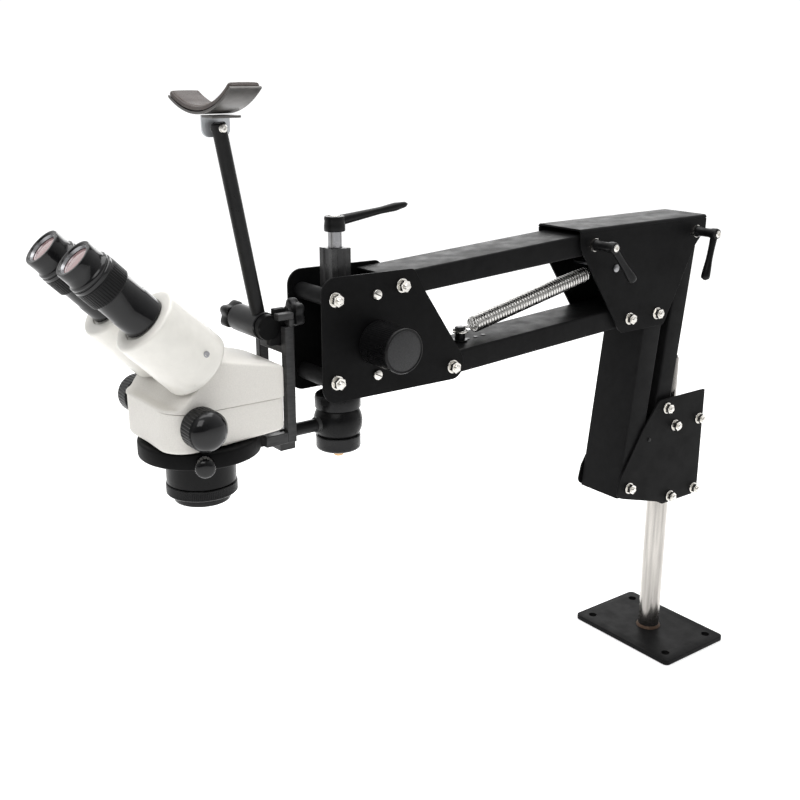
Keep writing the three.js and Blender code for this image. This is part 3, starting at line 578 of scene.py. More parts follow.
def square_tube(name, node, start, end, half, depth, past_start, past_end, body, shift=0.0):
    """A rectangular tube between two pivots, with its bearing tubes."""
    corner, w = 2.2, 2.0
    way = (end - start).normalized()
    d = depth / 2
    outer = rounded([[-half, shift - d, corner], [half, shift - d, corner],
                     [half, shift + d, corner], [-half, shift + d, corner]], 6)
    inner = rounded([[-half + w, shift - d + w, 0.8], [half - w, shift - d + w, 0.8],
                     [half - w, shift + d - w, 0.8], [-half + w, shift + d - w, 0.8]], 6)
    up = Vector((-way.z, 0, way.x))
    if up.z < 0 or (abs(up.z) < 0.5 and up.x > 0):
        up = -up
    length = (end - start).length

    def place(a, b, h):
        return tuple(start + Vector((0, 1, 0)) * a + up * b + way * h)
    shell = ring(outer, inner, -past_start, length + past_end, place)
    bearings = [lathe([[3.3, -half + 0.4], [6, -half + 0.4], [6, half - 0.4], [3.3, half - 0.4],
                       [3.3, -half + 0.4]], 32, on_y(p.x, p.z)) for p in (start, end)]
    build(name, *join(shell, *bearings), body, POWDER, "black_powder_coat", node, bevel=0.3)


def arms():
    tube_foot, tube_head = pivot("lower_arm_lean"), pivot("elbow_level")
    link_foot = pivot("lower_link_lean")
    link_head = link_foot + (tube_head - tube_foot)
    square_tube("main_tube_shell", "main_tube", tube_foot, tube_head, 27.9, 30, 12, 13, "lower_tube")
    square_tube("rear_link_shell", "rear_link", link_foot, link_head, 24, 25, 9.5, 6.6, "lower_link")
    upper_rear, lower_rear = pivot("upper_beam_lift"), pivot("arm_lift")
    lower_front = pivot("head_level")
    upper_front = upper_rear + (lower_front - lower_rear)
    square_tube("upper_beam_shell", "upper_beam", upper_front, upper_rear, 25.5, 22, 12, 9,
                "upper_arm_beam")
    square_tube("lower_beam_shell", "lower_beam", lower_front, lower_rear, 25.5, 22, 10, 15,
                "lower_arm_beam", shift=1.5)


def elbow():
    corners = [[-185.5, 511.8, 1.5], [-184, 492, 5], [-122, 401, 5], [-116, 396.5, 2.5], [-50, 396.5, 6],
               [-6.5, 479, 3], [10, 496, 4], [10, 511.8, 1.5]]
    inner = SIDE_HALF - SHEET
    outline = rounded([[x, min(z, BEND_Z), r] for x, z, r in corners])
    sides = [slab(outline, *reach, in_xz) for reach in ((-SIDE_HALF, -inner), (inner, SIDE_HALF))]
    build("elbow_sides", *join(*sides), "elbow", POWDER, "black_powder_coat", "elbow_housing", bevel=0.4)
    bend = []
    for r in (BEND_R, BEND_R - SHEET):
        arc = []
        for sign in (-1, 1):
            centre = Vector((sign * (SIDE_HALF - BEND_R), BEND_Z))
            turns = range(9) if sign < 0 else range(8, -1, -1)
            for k in turns:
                angle = radians(11.25 * k)
                arc.append(centre + Vector((sign * r * cos(angle), r * sin(angle))))
        bend.append(arc)
    strip = bend[0] + list(reversed(bend[1]))
    build("elbow_top", *slab(strip, -185.5, 10, lambda a, b, h: (h, a, b)), "elbow", POWDER,
          "black_powder_coat", bevel=0.3)
    through_bolt("beam_rear_bolt", "elbow", SIDE_HALF)
    through_bolt("tube_head_bolt", "elbow", SIDE_HALF)
    pin = middle("spring_pin")
    heads = [lathe([[0, 0.1], [4, 0.1], [4, 1.2], [3, 1.9], [0, 2.1]], 32,
                   on_y(pin.x, pin.z, sign * SIDE_HALF, sign)) for sign in (-1, 1)]
    bar = lathe(rod(2.6, -SIDE_HALF, SIDE_HALF), 24, on_y(pin.x, pin.z))
    build("spring_pin_bar", *join(bar, *heads), "elbow", STEEL, "zinc_hardware", "spring_pin")


def clamp_lever(node, joint, body, angle):
    """A clamping lever on the near side; angle is its arm's, in degrees."""
    at = pivot(joint)
    face, grip_h = SIDE_HALF + 0.3, 24.5
    place = on_y(at.x, at.z, -face)
    hub = lathe([[0, 1.8], [6.0, 1.8], [6.2, 2.2], [6.0, 4.5], [4.9, 6.5], [4.7, 12], [5.0, 19],
                 [5.7, 22], [5.8, 27], [5.0, 29], [4.0, 29.4], [4.0, 28.4], [0, 28.4]], 48, place)
    way = Vector((cos(radians(angle)), 0, sin(radians(angle))))
    path = [Vector((at.x, -(face + grip_h), at.z)) + way * (50.5 * t / 24) for t in range(25)]

    def girth(t):
        if t > 0.94:
            return 4.7 * sqrt(max(0.02, 1 - ((t - 0.94) / 0.062) ** 2))
        return 4.1 - 0.6 * sin(pi * min(1, t * 1.25)) + 0.9 * max(0, t - 0.55) / 0.45
    build(node + "_grip", *join(hub, sweep(path, girth, 20)), body, PLASTIC, "black_plastic", node,
          smooth=50)
    screw = lathe([[0, 28.2], [3.7, 28.2], [3.7, 29.6], [3.0, 30.3], [1.6, 30.4], [1.6, 29.2],
                   [0, 29.2]], 32, place)
    washer = lathe([[3.2, -0.2], [6.7, -0.2], [6.7, 1.6], [3.2, 1.6], [3.2, -0.2]], 40, place)
    far = nut_and_end(at.x, at.z, SIDE_HALF, 1)
    stud = lathe(rod(2.9, -SIDE_HALF, SIDE_HALF), 24, on_y(at.x, at.z))
    build(node + "_hardware", *join(screw, washer, far, stud), body, ZINC, "zinc_hardware", smooth=30)


def spring():
    body = "lower_arm_beam"
    post = middle("spring_post")
    x = post.x
    foot = 412.2
    column = lathe([[0, foot], [7.4, foot], [7.4, foot + 1.2], [5.2, foot + 1.4], [5.2, foot + 8.2],
                    [0, foot + 8.2]], 40, on_z(x, 0))
    build("spring_post_stem", *column, body, PLASTIC, "black_plastic", "spring_post")
    disc = lathe([[0, foot + 8.3], [7.8, foot + 8.3], [8.0, foot + 8.7], [7.8, foot + 9.6],
                  [0, foot + 9.6]], 40, on_z(x, 0))
    build("spring_post_washer", *disc, body, ZINC, "zinc_hardware")
    build("spring_post_head", *slab(hexagon(5.2), foot + 9.7, foot + 14.0, on_z(x, 0)),
          body, PLASTIC, "black_plastic", bevel=0.6)
    # The spare holes are thin black discs on the beam top: painted shade for the dark inside of each hole.
    for k in range(3):
        hole_x = x + 10 + 10 * k
        z = 412.25 + (hole_x - x) * 0.056 - 0.02
        eye = lathe([[0, z - 0.4], [2.2, z - 0.4], [2.2, z + 0.05], [0, z + 0.05]], 28, on_z(hole_x, 0))
        build("spare_hole_shade_%d" % k, *eye, body, PLASTIC)

    start, end = Vector((-305, 0, 424.5)), Vector((-140, 0, 459.6))
    way = (end - start).normalized()
    side = Vector((0, 1, 0))
    up = way.cross(side)
    length = (end - start).length
    turns, wire, radius, per_turn = 44, 1.42, 7.0, 22
    path = []
    steps = turns * per_turn
    for i in range(steps + 1):
        angle = 2 * pi * i / per_turn
        along_by = 6 + (length - 12) * i / steps
        path.append(start + way * along_by + (up * cos(angle) + side * sin(angle)) * radius)
    first = [Vector((x, 0, 422)) + Vector((cos(a), sin(a), 0.02 * a)) * 6.2
             for a in (radians(-120 + 22 * k) for k in range(12))]
    pin = middle("spring_pin")
    hook = [end - way * 6 + up * radius * (1 - t / 5) + way * t * 0.8 for t in range(6)]
    hook += [Vector((pin.x, 0, pin.z)) + Vector((cos(a), 0, sin(a))) * 3.6
             for a in (radians(200 - 24 * k) for k in range(11))]
    neck = [start + way * 6 + up * radius, start + way * 3 + up * 3, start + way * 1, first[-1]]
    parts = [sweep(path, wire, 8), sweep(list(reversed(first)), wire, 8), sweep(neck, wire, 8)]
    build("balance_spring_coil", *join(*parts), body, SPRING, "spring_steel",
          "balance_spring", smooth=60)
    # The hook rides on no body; its transform is baked into its mesh.
    eye = build("balance_spring_hook", *sweep(hook, wire, 8), None, SPRING, "spring_steel", smooth=60)
    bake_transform(eye)


# ---- head and focus -----------------------------------------------------

def head():
    corners = [[-491.5, 385.8, 14], [-334, 384.6, 13], [-334, 405, 9], [-380, 473.5, 6], [-392.5, 495.6, 8],
               [-491.5, 497, 14]]
    side_plates("head_side_", "head_plate_", corners, HEAD_HALF, "head")
    for node in ("upper_front_bolt", "lower_front_bolt"):
        through_bolt(node, "head", HEAD_HALF)
    reach = HEAD_HALF - SHEET - 0.2
    for node in ("head_spacer_upper", "head_spacer_lower"):
        through_bolt(node, "head", HEAD_HALF)
        at = middle(node)
        tube = lathe(rod(7.5, -reach, reach), 48, on_y(at.x, at.z))
        build(node + "_tube", *tube, "head", POWDER, "black_powder_coat", bevel=0.4)
    for k, z in enumerate((477.0, 404.2)):
        slotted_screw("guide_screw_%d" % k, -434.5, z, HEAD_HALF, "head")


def ribs(count, depth, low, high):
    """Grooves round a turned piece, between two heights of its profile."""
    def lobes(angle, h):
        if low < h < high:
            return 1 - depth * max(0.0, cos(count * angle)) ** 2
        return 1.0
    return lobes


def focus():
    at = pivot("focus_knob_turn")
    place = on_y(at.x, at.z, -HEAD_HALF)
    profile = [[4.4, 1.0], [15.5, 1.0], [17.5, 2.0], [18.6, 4.0], [19.9, 5.2], [20, 6], [19.7, 7],
               [19.7, 40], [20, 41], [20, 43.2], [19.4, 44.2], [18.2, 44.5], [17.6, 43.9]]
    side = lathe(profile, 240, place, ribs(60, 0.022, 6.5, 40.5))
    build("focus_knob_grip", *side, "focus_drive", PLASTIC, "black_plastic", "focus_knob", smooth=60)
    face = lathe([[17.7, 43.8], [16, 44.1], [11, 44.6], [5, 44.9], [0, 45.0]], 96, place)
    build("focus_knob_face", *face, "focus_drive", KNOB_FACE, "black_plastic")
    x = middle("draw_rod").x
    build("draw_rod_upper", *lathe(rod(6, 505, 531), 48, on_z(x, 0)), "mast", STEEL, "steel", "draw_rod")
    tip = lathe([[0, 325.2], [2.8, 325.2], [4.4, 326.1], [4.8, 327.1], [4.8, 331.2], [4.2, 332.6],
                 [0, 332.6]], 40, on_z(x, 0))
    build("draw_rod_tip", *tip, "mast", BRASS)
    hub = lathe([[6.4, 531.2], [8.9, 531.2], [9.3, 531.8], [9.3, 536], [8.8, 540], [9.2, 542.5],
                 [8.6, 544.2], [5.4, 544.6], [5.4, 543.4], [0, 543.4]], 56, on_z(x, 0))
    way = Vector((1, 0, 0.12)).normalized()
    path = [Vector((x, 0, 539.3)) + way * (79.6 * t / 30) for t in range(31)]

    def girth(t):
        if t > 0.97:
            return 2.5 * sqrt(max(0.03, 1 - ((t - 0.97) / 0.031) ** 2))
        if t < 0.62:
            return 4.9 - 1.7 * t / 0.62
        return 3.2 + 0.7 * (t - 0.62) / 0.2 if t < 0.82 else 3.9 - 1.4 * (t - 0.82) / 0.15
    build("top_lever_grip", *join(hub, sweep(path, girth, 24)), "top_lever", PLASTIC,
          "black_plastic", "top_clamp_lever", smooth=55)
    screw = lathe([[0, 543.2], [4.6, 543.2], [4.6, 544.6], [3.8, 545.4], [2.0, 545.5], [2.0, 544.2],
                   [0, 544.2]], 40, on_z(x, 0))
    build("top_lever_screw", *screw, "top_lever", ZINC, "zinc_hardware")


def ball():
    at = pivot("ball_swivel")
    cup = lathe([[14, 371.7], [18.6, 371.7], [20.4, 372.3], [21, 373.3], [21, 382], [20.2, 384.6],
                 [18.8, 385.6], [8, 385.7]], 96, on_z(at.x, 0))
    build("ball_cup_shell", *cup, "ball_cups", ANODISED, "black_anodised", "ball_cup")
    cap = lathe([[14, 346.3], [19.9, 346.3], [20.5, 345.7], [20.5, 336], [19.9, 334.2], [18, 332.9],
                 [0, 332.7]], 96, on_z(at.x, 0))
    build("ball_cap_shell", *cap, "ball_cups", ANODISED, "black_anodised", "ball_cap")
    radius, rows = 22.4, 40
    profile = [[radius * sin(pi * k / rows), at.z - radius * cos(pi * k / rows)]
               for k in range(rows + 1)]
    profile[0][0] = profile[-1][0] = 0
    build("ball_sphere", *lathe(profile, 72, on_z(at.x, 0)), "ball", PLASTIC, "black_plastic",
          "ball_joint", smooth=80)
    boom = lathe([[0, 20.5], [7.2, 20.5], [7.2, 24.5], [6.6, 25.2], [5.9, 25.4], [5.9, 66], [0, 66]],
                 56, on_x(at.x, 0, at.z, -1))
    build("boom_rod_tube", *boom, "ball", FRAME_GREY, "steel")


# ---- carrier and headrest -----------------------------------------------

def carrier():
    x0, x1, y0, y1 = -526.5, -518.0, 18.0, 25.5
    bars = []
    for side in (-1, 1):
        a, b = sorted((side * y0, side * y1))
        bars.append(block(x0, x1, a, b, 358, 459.6 if side < 0 else 443))
    bars.append(block(x0, x1, -y0, y0, 436.4, 443))
    bars.append(block(x0 - 3.5, x1 + 3, -y0, y0, 349, 369))
    bars.append(block(x1 - 4, x1, -y1, -y0, 459.6, 466))
    build("carrier_bars", *join(*bars), "carrier", FRAME_GREY, "grey_frame", "carrier_frame", bevel=0.7)
    feet = [block(-548, x0, *sorted((s * y0, s * y1)), 358, 367.6) for s in (-1, 1)]
    build("carrier_feet", *join(*feet), "carrier", FRAME_GREY, "grey_frame", bevel=0.7)
    build("carrier_tab", *block(-532.5, x1 + 0.5, -y1, -y0, 466, 471.6), "carrier", FRAME_GREY,
                "grey_frame", bevel=0.8)
    centre = pivot("scope_turn")
    place = on_z(centre.x, 0)
    profile = [[38.2, 360], [49.6, 360], [50.7, 360.8], [51, 362], [51, 372], [50.7, 373.2],
               [49.6, 374], [38.2, 374], [38.2, 360]]
    parts = [lathe(profile, 128, place)]
    for side in (-1, 1):
        y = side * 21.75
        parts.append(block(-556, -548.3, y - 3.5, y + 3.5, 360, 368.5))
    build("holder_ring_shell", *join(*parts), "carrier", POWDER, "black_powder_coat", "holder_ring",
          bevel=0.3)
    at = pivot("ring_screw_turn")
    place = along(at, Vector((at.x - centre.x, at.y, 0)))
    grip = lathe([[0, 0.2], [4.5, 0.2], [4.5, 3], [7.6, 3.6], [8.2, 4.6], [8.2, 11.8], [7.7, 13.2],
                  [6.2, 14.5], [3.5, 15.3], [0, 15.6]], 144, place, ribs(20, 0.05, 4, 12.6))
    build("ring_screw_grip", *grip, "ring_thumbscrew", GLOSS, "black_plastic", "ring_screw")
    boom_set = lathe([[0, 0], [3.4, 0], [3.4, 3], [2.8, 3.6], [1.4, 3.6], [1.4, 2.6], [0, 2.6]], 30,
                     along((-517, -5.4, 353.5), (0.3, -1, -0.5)))
    build("boom_set_screw", *boom_set, "carrier", PLASTIC)


def star(place, r, thick):
    """A five-lobed knob on a short core, which sets it back off its seat."""
    back, count = 2.5, 120
    outline = []
    for k in range(count):
        a = 2 * pi * k / count
        outline.append(Vector((cos(a), sin(a))) * r * (0.88 + 0.12 * cos(5 * a)))
    layers = [(0.86, back), (0.95, back + 0.7), (1.0, back + 2), (1.0, back + thick - 2),
              (0.95, back + thick - 0.7), (0.84, back + thick)]
    verts = [place(p.x * scale, p.y * scale, h) for scale, h in layers for p in outline]
    core = lathe([[0, -0.5], [5.8, -0.5], [5.8, back + 0.2], [0, back + 0.2]], 32, place)
    return join((verts, skin(len(layers), count)), core)


def headrest():
    tilt, rear = pivot("headrest_tilt"), pivot("rear_star_turn")
    disc = lathe([[0, 9], [10.2, 9], [10.8, 9.6], [10.8, 16], [10, 16.8], [0, 16.8]], 72,
                 on_y(tilt.x, tilt.z))
    foot = block(tilt.x, -519, -16.2, -9.5, 443.3, tilt.z + 7)
    boss = block(tilt.x + 5, -519.3, -15.9, -9.8, tilt.z + 1, rear.z + 6)
    build("tilt_clamp_disc", *join(disc, foot, boss), "carrier", POWDER, "black_powder_coat",
          "headrest_clamp", bevel=0.6)
    sleeve = lathe([[4.3, -36], [11.2, -36], [11.8, -35.4], [11.8, 7.8], [11.2, 8.4], [4.3, 8.4]], 72,
                   on_y(tilt.x, tilt.z))
    build("tilt_sleeve_tube", *sleeve, "headrest_arm", FRAME_GREY, "grey_frame", "tilt_sleeve", bevel=0.3)
    lean = radians(-10.45)
    way = Vector((sin(lean), 0, cos(lean)))
    post = lathe([[0, 5.4], [6, 5.4], [6, 168.2], [5.2, 169.1], [0, 169.2]], 56,
                 along((tilt.x, 0, tilt.z), way))
    build("headrest_post_rod", *post, "headrest_arm", PLASTIC, "black_powder_coat", "headrest_post")
    build("side_star_grip", *star(on_y(tilt.x, tilt.z, 36.3, 1), 13, 13), "side_star_knob", PLASTIC,
          "black_plastic", "tilt_star_knob", smooth=50)
    place = on_x(-516.7, rear.y, rear.z)
    build("rear_star_grip", *star(place, 13, 9), "rear_star_knob", PLASTIC,
          "black_plastic", "carrier_star_knob", smooth=50)
    end = lathe([[0, 11], [3.4, 11], [3.4, 12.6], [2.6, 13.2], [0, 13.3]], 32, place)
    build("rear_star_screw", *end, "rear_star_knob", ZINC, "zinc_hardware")


def cradle():
    pin = pivot("cradle_tilt")
    ear = rounded([[-577, 614, 6], [-552, 614, 6], [-552, 631.2, 0.5], [-577, 631.2, 0.5]], 8)
    shelf = block(-577, -552, -12, 6.5, 629.2, 631.2)
    build("cradle_ear", *slab(ear, 6.6, 8.6, in_xz), "headrest", BRACKET_GREY, "light_bracket",
          "cradle_bracket", bevel=0.4)
    build("cradle_shelf", *shelf, "headrest", CRADLE_METAL, "grey_frame", bevel=0.4)
    screw = lathe([[0, -8.8], [3.4, -8.8], [4.2, -6.3], [2, -6.3], [2, 6.4], [0, 6.4]], 36,
                  on_y(pin.x, pin.z, 0, -1))
    head = lathe([[0, 6.1], [3.5, 6.1], [3.5, 7.2], [2.9, 8.0], [1.4, 8.3], [1.4, 7.4], [0, 7.4]], 36,
                 on_y(pin.x, pin.z))
    build("cradle_screw", *join(screw, head), "headrest", ZINC, "zinc_hardware")

    x, z, r, half = -568.5, 632.2, 96.0, radians(33.5)
    turn = Matrix.Rotation(-0.08, 3, "X")

    def on_arc(dx, angle, radius):
        """A point on an arc of a radius about the cradle's centre."""
        p = turn @ Vector((0, sin(angle) * radius, r - cos(angle) * radius))
        return Vector((x + dx, p.y, z + p.z))

    def shell(inner, outer, reach, spread, lanes, steps):
        """A sheet bent to the cradle's arc. lanes are the (across, outward)
        corners of its section, as shares of its half width and thickness."""
        verts = []
        for i in range(steps + 1):
            a = -spread + 2 * spread * i / steps
            for across, out in lanes:
                verts.append(on_arc(across * reach, a, inner + (outer - inner) * out))
        return verts, skin(steps + 1, len(lanes))

    flat = [(-1, 1), (1, 1), (1, 0), (-1, 0)]
    plate = shell(r - 2, r, 13.5, half, flat, 48)
    build("cradle_sheet", *plate, "headrest", CRADLE_METAL, "grey_frame", "cradle_plate", bevel=0.4)
    pad_section = [(-0.98, 0.9), (-1.0, 0.62), (-0.985, 0.5), (-1.0, 0.38), (-0.97, 0.12), (-0.86, 0.0),
                   (-0.4, -0.06), (0.4, -0.06), (0.86, 0.0), (0.97, 0.12), (1.0, 0.38), (0.985, 0.5),
                   (1.0, 0.62), (0.98, 0.9), (0.9, 0.99), (-0.9, 0.99)]
    pad = build("cradle_cushion", *shell(r - 6.4, r - 2.35, 13.2, half - 0.004, pad_section, 64),
                None, LEATHER, smooth=60)
    puff(pad)
    settle(pad, "headrest", "brown_leather", "cradle_pad")
    rows, stitches = [], 46
    for side in (-1, 1):
        for i in range(stitches):
            a = -half * 0.94 + 2 * half * 0.94 * i / (stitches - 1)
            ends = [on_arc(side * 10.9, t, r - 6.55) for t in (a, a + half * 0.022)]
            rows.append(sweep(ends, 0.22, 6))
    build("cradle_stitches", *join(*rows), "headrest", THREAD)


def puff(obj):
    """Small wrinkles and dents, so that the padding isn't a perfect arc."""
    rng = random.Random(7)
    bumps = [(rng.uniform(-0.05, 0.05), rng.uniform(-0.58, -0.555), rng.uniform(0.0002, 0.0005))
             for _ in range(16)]
    for v in obj.data.vertices:
        lift = 0.0
        for y, x, size in bumps:
            lift += size * exp(-((v.co.y - y) ** 2 + (v.co.x - x) ** 2) / 0.006 ** 2)
        v.co.z -= lift * 0.5
    sub = obj.modifiers.new("soft", "SUBSURF")
    sub.levels = sub.render_levels = 1


# ---- microscope ---------------------------------------------------------

def plan(inset):
    """The microscope body's outline from above, drawn in by an inset."""
    front, rear = -646 + inset, -532.5 - inset
    wide, narrow = 52 - inset, 37.5 - inset
    corners = [[front, -wide, max(22 - inset, 2)], [rear, -narrow, max(12 - inset, 1)],
               [rear, narrow, max(12 - inset, 1)], [front, wide, max(22 - inset, 2)]]
    return rounded(corners)


def dense(points, longest):
    """The same outline with extra points on its long straight runs."""
    out = []
    count = len(points)
    for i, p in enumerate(points):
        q = points[(i + 1) % count]
        parts = max(1, ceil((q - p).length / longest))
        for k in range(parts):
            out.append(p.lerp(q, k / parts))
    return out


def seam_z(x):
    """The height of the sloping seam between the casing and its cover."""
    return 407.0 - (x + 592) * 0.055


def casing():
    outline = dense(plan(0.9), 3.5)
    count = len(outline)
    fillet, steps = 4.0, 8
    rows = []
    for k in range(steps + 1):
        a = pi / 2 * k / steps
        rows.append((fillet * (1 - sin(a)), 375.2 + fillet * (1 - cos(a))))
    rows.append((0.0, None))    # the seam
    verts, faces = [], []
    for inset, z in rows:
        for p in outline:
            q = p + (Vector((max(-630, min(-552, p.x)), 0)) - p).normalized() * inset
            rise = max(0, -(p.x + 592) * 0.03) * 0.6
            verts.append((q.x, q.y, seam_z(p.x) - 0.35 if z is None else z + rise))
    for row in range(len(rows) - 1):
        for i in range(count):
            j = (i + 1) % count
            a, b = row * count, (row + 1) * count
            faces.append((a + i, a + j, b + j, b + i))
    faces.append(tuple(range(count)))
    faces.append(tuple(range((len(rows) - 1) * count, len(rows) * count)))
    build("lower_shell", verts, faces, "microscope", IVORY, "ivory_shell", "lower_casing", smooth=50)


def cover():
    """The top cover: the plan outline cut to its ledge, seat, ridge and seam."""
    obj = build("cover_shell", *slab(plan(0.0), 392, 455, in_xy), None, IVORY)
    above = [(-670, 413), (-636, 413), (-602, 447), (-500, 421.5), (-500, 480), (-670, 480)]
    below = [(-670, seam_z(-670) + 0.35), (-670, 380), (-500, 380), (-500, seam_z(-500) + 0.35)]
    for corners in (above, below):
        cut_from(obj, slab([Vector(c) for c in corners], -80, 80, in_xz))
    bm = bmesh.new()
    bm.from_mesh(obj.data)
    bmesh.ops.remove_doubles(bm, verts=bm.verts, dist=WELD_GAP)
    # Its edges are rounded, all but the one along the seam.
    sharp = []
    for edge in bm.edges:
        clear = all(v.co.z / MM - PLATE_T > seam_z(v.co.x / MM) + 2 for v in edge.verts)
        if clear and len(edge.link_faces) == 2 and edge.calc_face_angle() > radians(25):
            sharp.append(edge)
    bmesh.ops.bevel(bm, geom=sharp, offset=2.2 * MM, segments=4, profile=0.5, affect="EDGES")
    bm.to_mesh(obj.data)
    bm.free()
    shade(obj, 32)
    settle(obj, "microscope", "ivory_shell", "top_cover")


def optics():
    centre = pivot("scope_turn")
    place = on_z(centre.x, 0)
    barrel = lathe([[24, 334.2], [28.6, 334.2], [29.3, 334.8], [29.3, 359.8], [37.6, 359.8], [37.6, 374.7],
                    [24, 374.7]], 128, place)
    build("objective_barrel_tube", *barrel, "microscope", PLASTIC, "black_anodised", "objective_barrel")
    knurl = lathe([[24, 324.4], [24.6, 324.4], [29.4, 324.7], [30, 325.3], [30, 326], [30, 332.2],
                   [30, 332.9], [29.4, 333.6], [24, 333.6]], 480, place, ribs(120, 0.014, 325.6, 332.6))
    tip = lathe([[21.5, 326], [20.6, 318.1], [21.6, 317.6], [23.2, 317.6], [23.8, 318.2],
                 [24.5, 324.2]], 128, place)
    build("objective_mount", *join(knurl, tip), "microscope", ANODISED, "black_anodised",
          "objective_ring", smooth=30)
    lens = lathe([[0, 324.6], [8, 324.9], [14, 325.6], [20.6, 327], [20.6, 328.2], [0, 328.2]], 96, place)
    build("objective_glass", *lens, "microscope", GLASS, "coated_glass", "objective_lens")
    zoom = pivot("zoom_turn")
    for name, side in (("near", -1), ("far", 1)):
        place = on_y(zoom.x, zoom.z, 0, side)
        grip = lathe([[0, 51.2], [15.6, 51.2], [16.5, 51.7], [16.8, 52.6], [16.8, 53.8], [16.8, 66.4],
                      [16.6, 67.2], [15.8, 68.4]], 288, place, ribs(36, 0.035, 53.2, 66.8))
        build("zoom_grip_" + name, *grip, "zoom", PLASTIC, "gloss_black",
              "zoom_knobs" if side < 0 else None, smooth=45)
        dome = lathe([[15.8, 68.3], [15.2, 69.6], [13.4, 71.9], [10.4, 74.0], [6, 75.5], [0, 76.0]],
                     96, place)
        build("zoom_cap_" + name, *dome, "zoom", GLOSS, "gloss_black", smooth=80)


# ---- binocular head -----------------------------------------------------

BINO = Vector((-608.4, 0, 441.5))   # where both tubes start, between them
EYE_HALF = 32                       # half the distance between the eyes
EYE_BASE = 71.8                     # from there to the eyepiece's foot


def binocular(name, side):
    origin = BINO + Vector((0, EYE_HALF * side, 0))
    c = sqrt(0.5)
    back, axis = Vector((c, 0, c)), Vector((-c, 0, c))

    def place(a, b, h):
        return tuple(origin + back * a + Vector((0, b, 0)) + axis * h)
    body = "binocular_" + name

    r = 28.9
    profile = [[0, 0.6], [r - 5, 0.6]]
    profile += [[r - 5 + 5 * sin(a), 5.6 - 5 * cos(a)] for a in
                (pi / 2 * k / 6 for k in range(1, 7))]
    profile += [[r, 15], [r - 0.1, 30], [r - 0.3, 50], [r - 0.5, 60.2]]
    profile += [[r - 3.1 + 2.6 * cos(a), 60.2 + 2.7 * sin(a)] for a in
                (pi / 2 * k / 8 for k in range(1, 9))]
    profile += [[19, 62.9], [18.3, 62.6], [18.1, 61], [0, 61]]

    def off_centre(a, b, h):
        return place(a - 1.5, b, h)
    shell = lathe(profile, 112, off_centre)
    build("prism_shell_" + name, *shell, body, IVORY_SMOOTH,
          "ivory_shell", "prism_housing_" + name, smooth=50)
    screw = lathe([[0, -0.4], [2.6, -0.4], [2.6, 0.2], [1.4, 0.3], [1.4, -0.1], [0, -0.1]], 28,
                  along(place(6, side * 28.2, 18), (0, side, 0)))
    build("prism_screw_" + name, *screw, body, STEEL)

    def at_eye(a, b, h):
        return place(a, b, h + EYE_BASE)
    tube = lathe([[14, 63.2], [17.8, 63.2], [17.8, 65], [17.5, 66], [17.5, 79.8], [16.9, 80.8],
                  [16.7, 98.2], [14, 98.2]], 96, place)
    cup = lathe([[12, 42.6], [18.2, 42.6], [18.4, 43.2], [18.4, 45.2], [17.6, 45.8], [17.6, 46.4],
                 [18.1, 47], [18.1, 48.6], [17.2, 49.4], [16.6, 50], [16.4, 56], [16.4, 62.2],
                 [16, 63.2], [14.4, 63.4], [13.4, 62.9], [12.7, 60.4], [12, 60.2]], 112, at_eye)
    rim = lathe([[11.6, 60.3], [12.6, 60.3], [13.2, 62.2], [12.5, 62.3], [11.6, 60.3]], 96, at_eye)
    build("eye_rim_" + name, *rim, body, STEEL)
    build("eyepiece_shell_" + name, *join(tube, cup), body, GLOSS, "gloss_black", "eyepiece_" + name,
          smooth=50)
    grip = lathe([[15.9, 26.9], [18.1, 26.9], [18.6, 27.5], [18.6, 28.6], [18.6, 40.6], [18.6, 41.7],
                  [18.1, 42.3], [15.9, 42.3]], 288, at_eye, ribs(48, 0.03, 28.2, 41.2))
    build("diopter_grip_" + name, *grip, "diopter_" + name, PLASTIC, "black_plastic",
          "diopter_ring_" + name, smooth=45)
    lens = lathe([[0, 57], [12, 57], [12, 59.8], [8, 60.5], [4, 60.8], [0, 60.9]], 72, at_eye)
    build("eye_glass_" + name, *lens, body, GLASS, "coated_glass", "eye_lens_" + name, smooth=80)


# ---- what stays from the CAD part ---------------------------------------

def keep(node, material):
    """Leaves a CAD node in the picture, in a better material."""
    for slot in frame["nodes"][node].material_slots:
        slot.material = material


# ---- camera, floor and lights -------------------------------------------

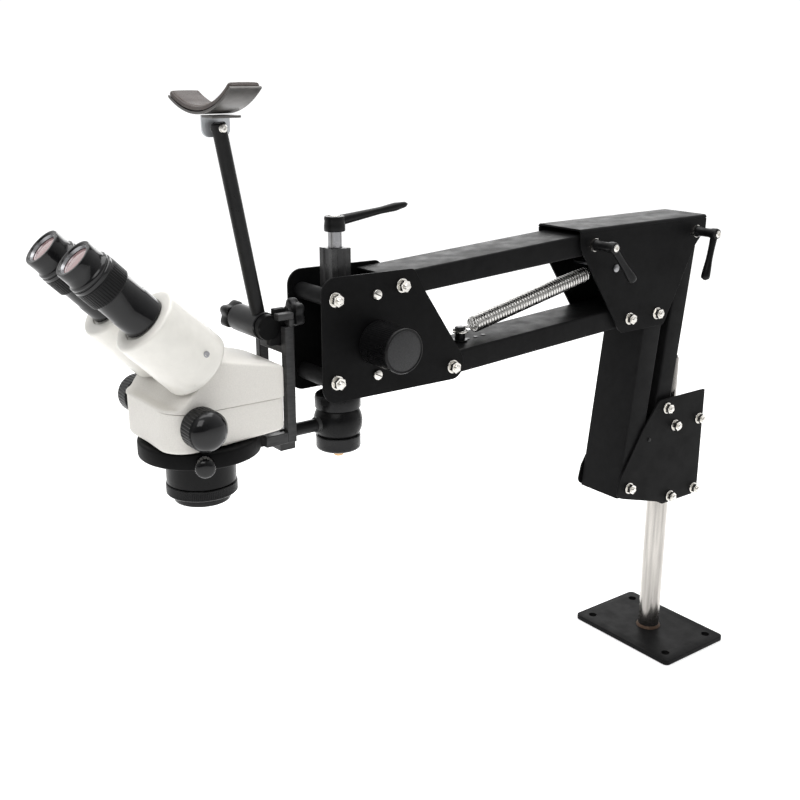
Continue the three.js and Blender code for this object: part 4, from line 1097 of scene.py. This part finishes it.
def studio():
    floor_mat = shader("pale_floor", (0.86, 0.86, 0.86), 0.7, grain=3, bump=0.02, bump_scale=60,
                       vary=0.01)
    put(floor_mat.node_tree.nodes["Principled BSDF"],
        {"Emission Color": (1, 1, 1, 1), "Emission Strength": 0.4})
    mesh = bpy.data.meshes.new("floor")
    s, z = 40.0, -0.0004
    mesh.from_pydata([(-s, -s, z), (s, -s, z), (s, s, z), (-s, s, z)], [], [(0, 1, 2, 3)])
    mesh.materials.append(floor_mat)
    new_object("floor", mesh)

    world = bpy.data.worlds.new("studio")
    bpy.context.scene.world = world
    world.use_nodes = True
    nodes, link = world.node_tree.nodes, world.node_tree.links.new
    back = nodes["Background"]
    coords = nodes.new("ShaderNodeTexCoord")
    facing = nodes.new("ShaderNodeVectorMath")
    facing.operation = "DOT_PRODUCT"
    facing.inputs[1].default_value = (0.52, 0.69, 0.5)
    bright = map_range(world.node_tree, -0.7, 0.75, 0.08, 1.05)
    link(coords.outputs["Generated"], facing.inputs[0])
    link(facing.outputs["Value"], bright.inputs["Value"])
    link(bright.outputs["Result"], back.inputs["Strength"])
    back.inputs["Color"].default_value = (1, 1, 1, 1)

    def softbox(name, place, target, size, watts):
        data = bpy.data.lights.new(name, "AREA")
        data.shape = "RECTANGLE"
        data.size, data.size_y = size
        data.energy = watts
        lamp = new_object(name, data)
        lamp.location = place
        way = Vector(target) - Vector(place)
        lamp.rotation_mode = "QUATERNION"
        lamp.rotation_quaternion = way.to_track_quat("-Z", "Y")
    softbox("key", (-1.6, -1.1, 1.9), (-0.35, 0, 0.35), (1.2, 1.2), 14.5)
    softbox("top", (-0.2, 0.3, 2.2), (-0.3, 0, 0.4), (2.0, 1.6), 31)
    softbox("rear", (0.9, 1.4, 1.2), (-0.3, 0, 0.4), (1.2, 1.0), 10)

    data = bpy.data.cameras.new("camera")
    data.lens = 49.11
    data.sensor_width = 36
    data.clip_start = 0.02
    cam = new_object("camera", data)
    cam.location = (-0.98145, -0.79034, 0.67579)
    forward = Vector((0.5739, 0.7640, -0.2947)).normalized()
    right = Vector((0.7996, -0.6006, 0.0)).normalized()
    up = right.cross(forward)
    cam.rotation_mode = "QUATERNION"
    cam.rotation_quaternion = Matrix((right, up, -forward)).transposed().to_quaternion()
    bpy.context.scene.camera = cam
    bpy.context.scene.view_settings.view_transform = "Standard"


studio()
base()
lower_bracket()
arms()
elbow()
clamp_lever("clamp_lever_front", "front_lever_turn", "front_lever", -48)
clamp_lever("clamp_lever_rear", "rear_lever_turn", "rear_lever", -102)
spring()
head()
focus()
ball()
carrier()
headrest()
cradle()
casing()
cover()
optics()
binocular("near", -1)
binocular("far", 1)
keep("focus_mast", ANODISED)
keep("pinion_block", ANODISED)
keep("focus_pinion", STEEL)
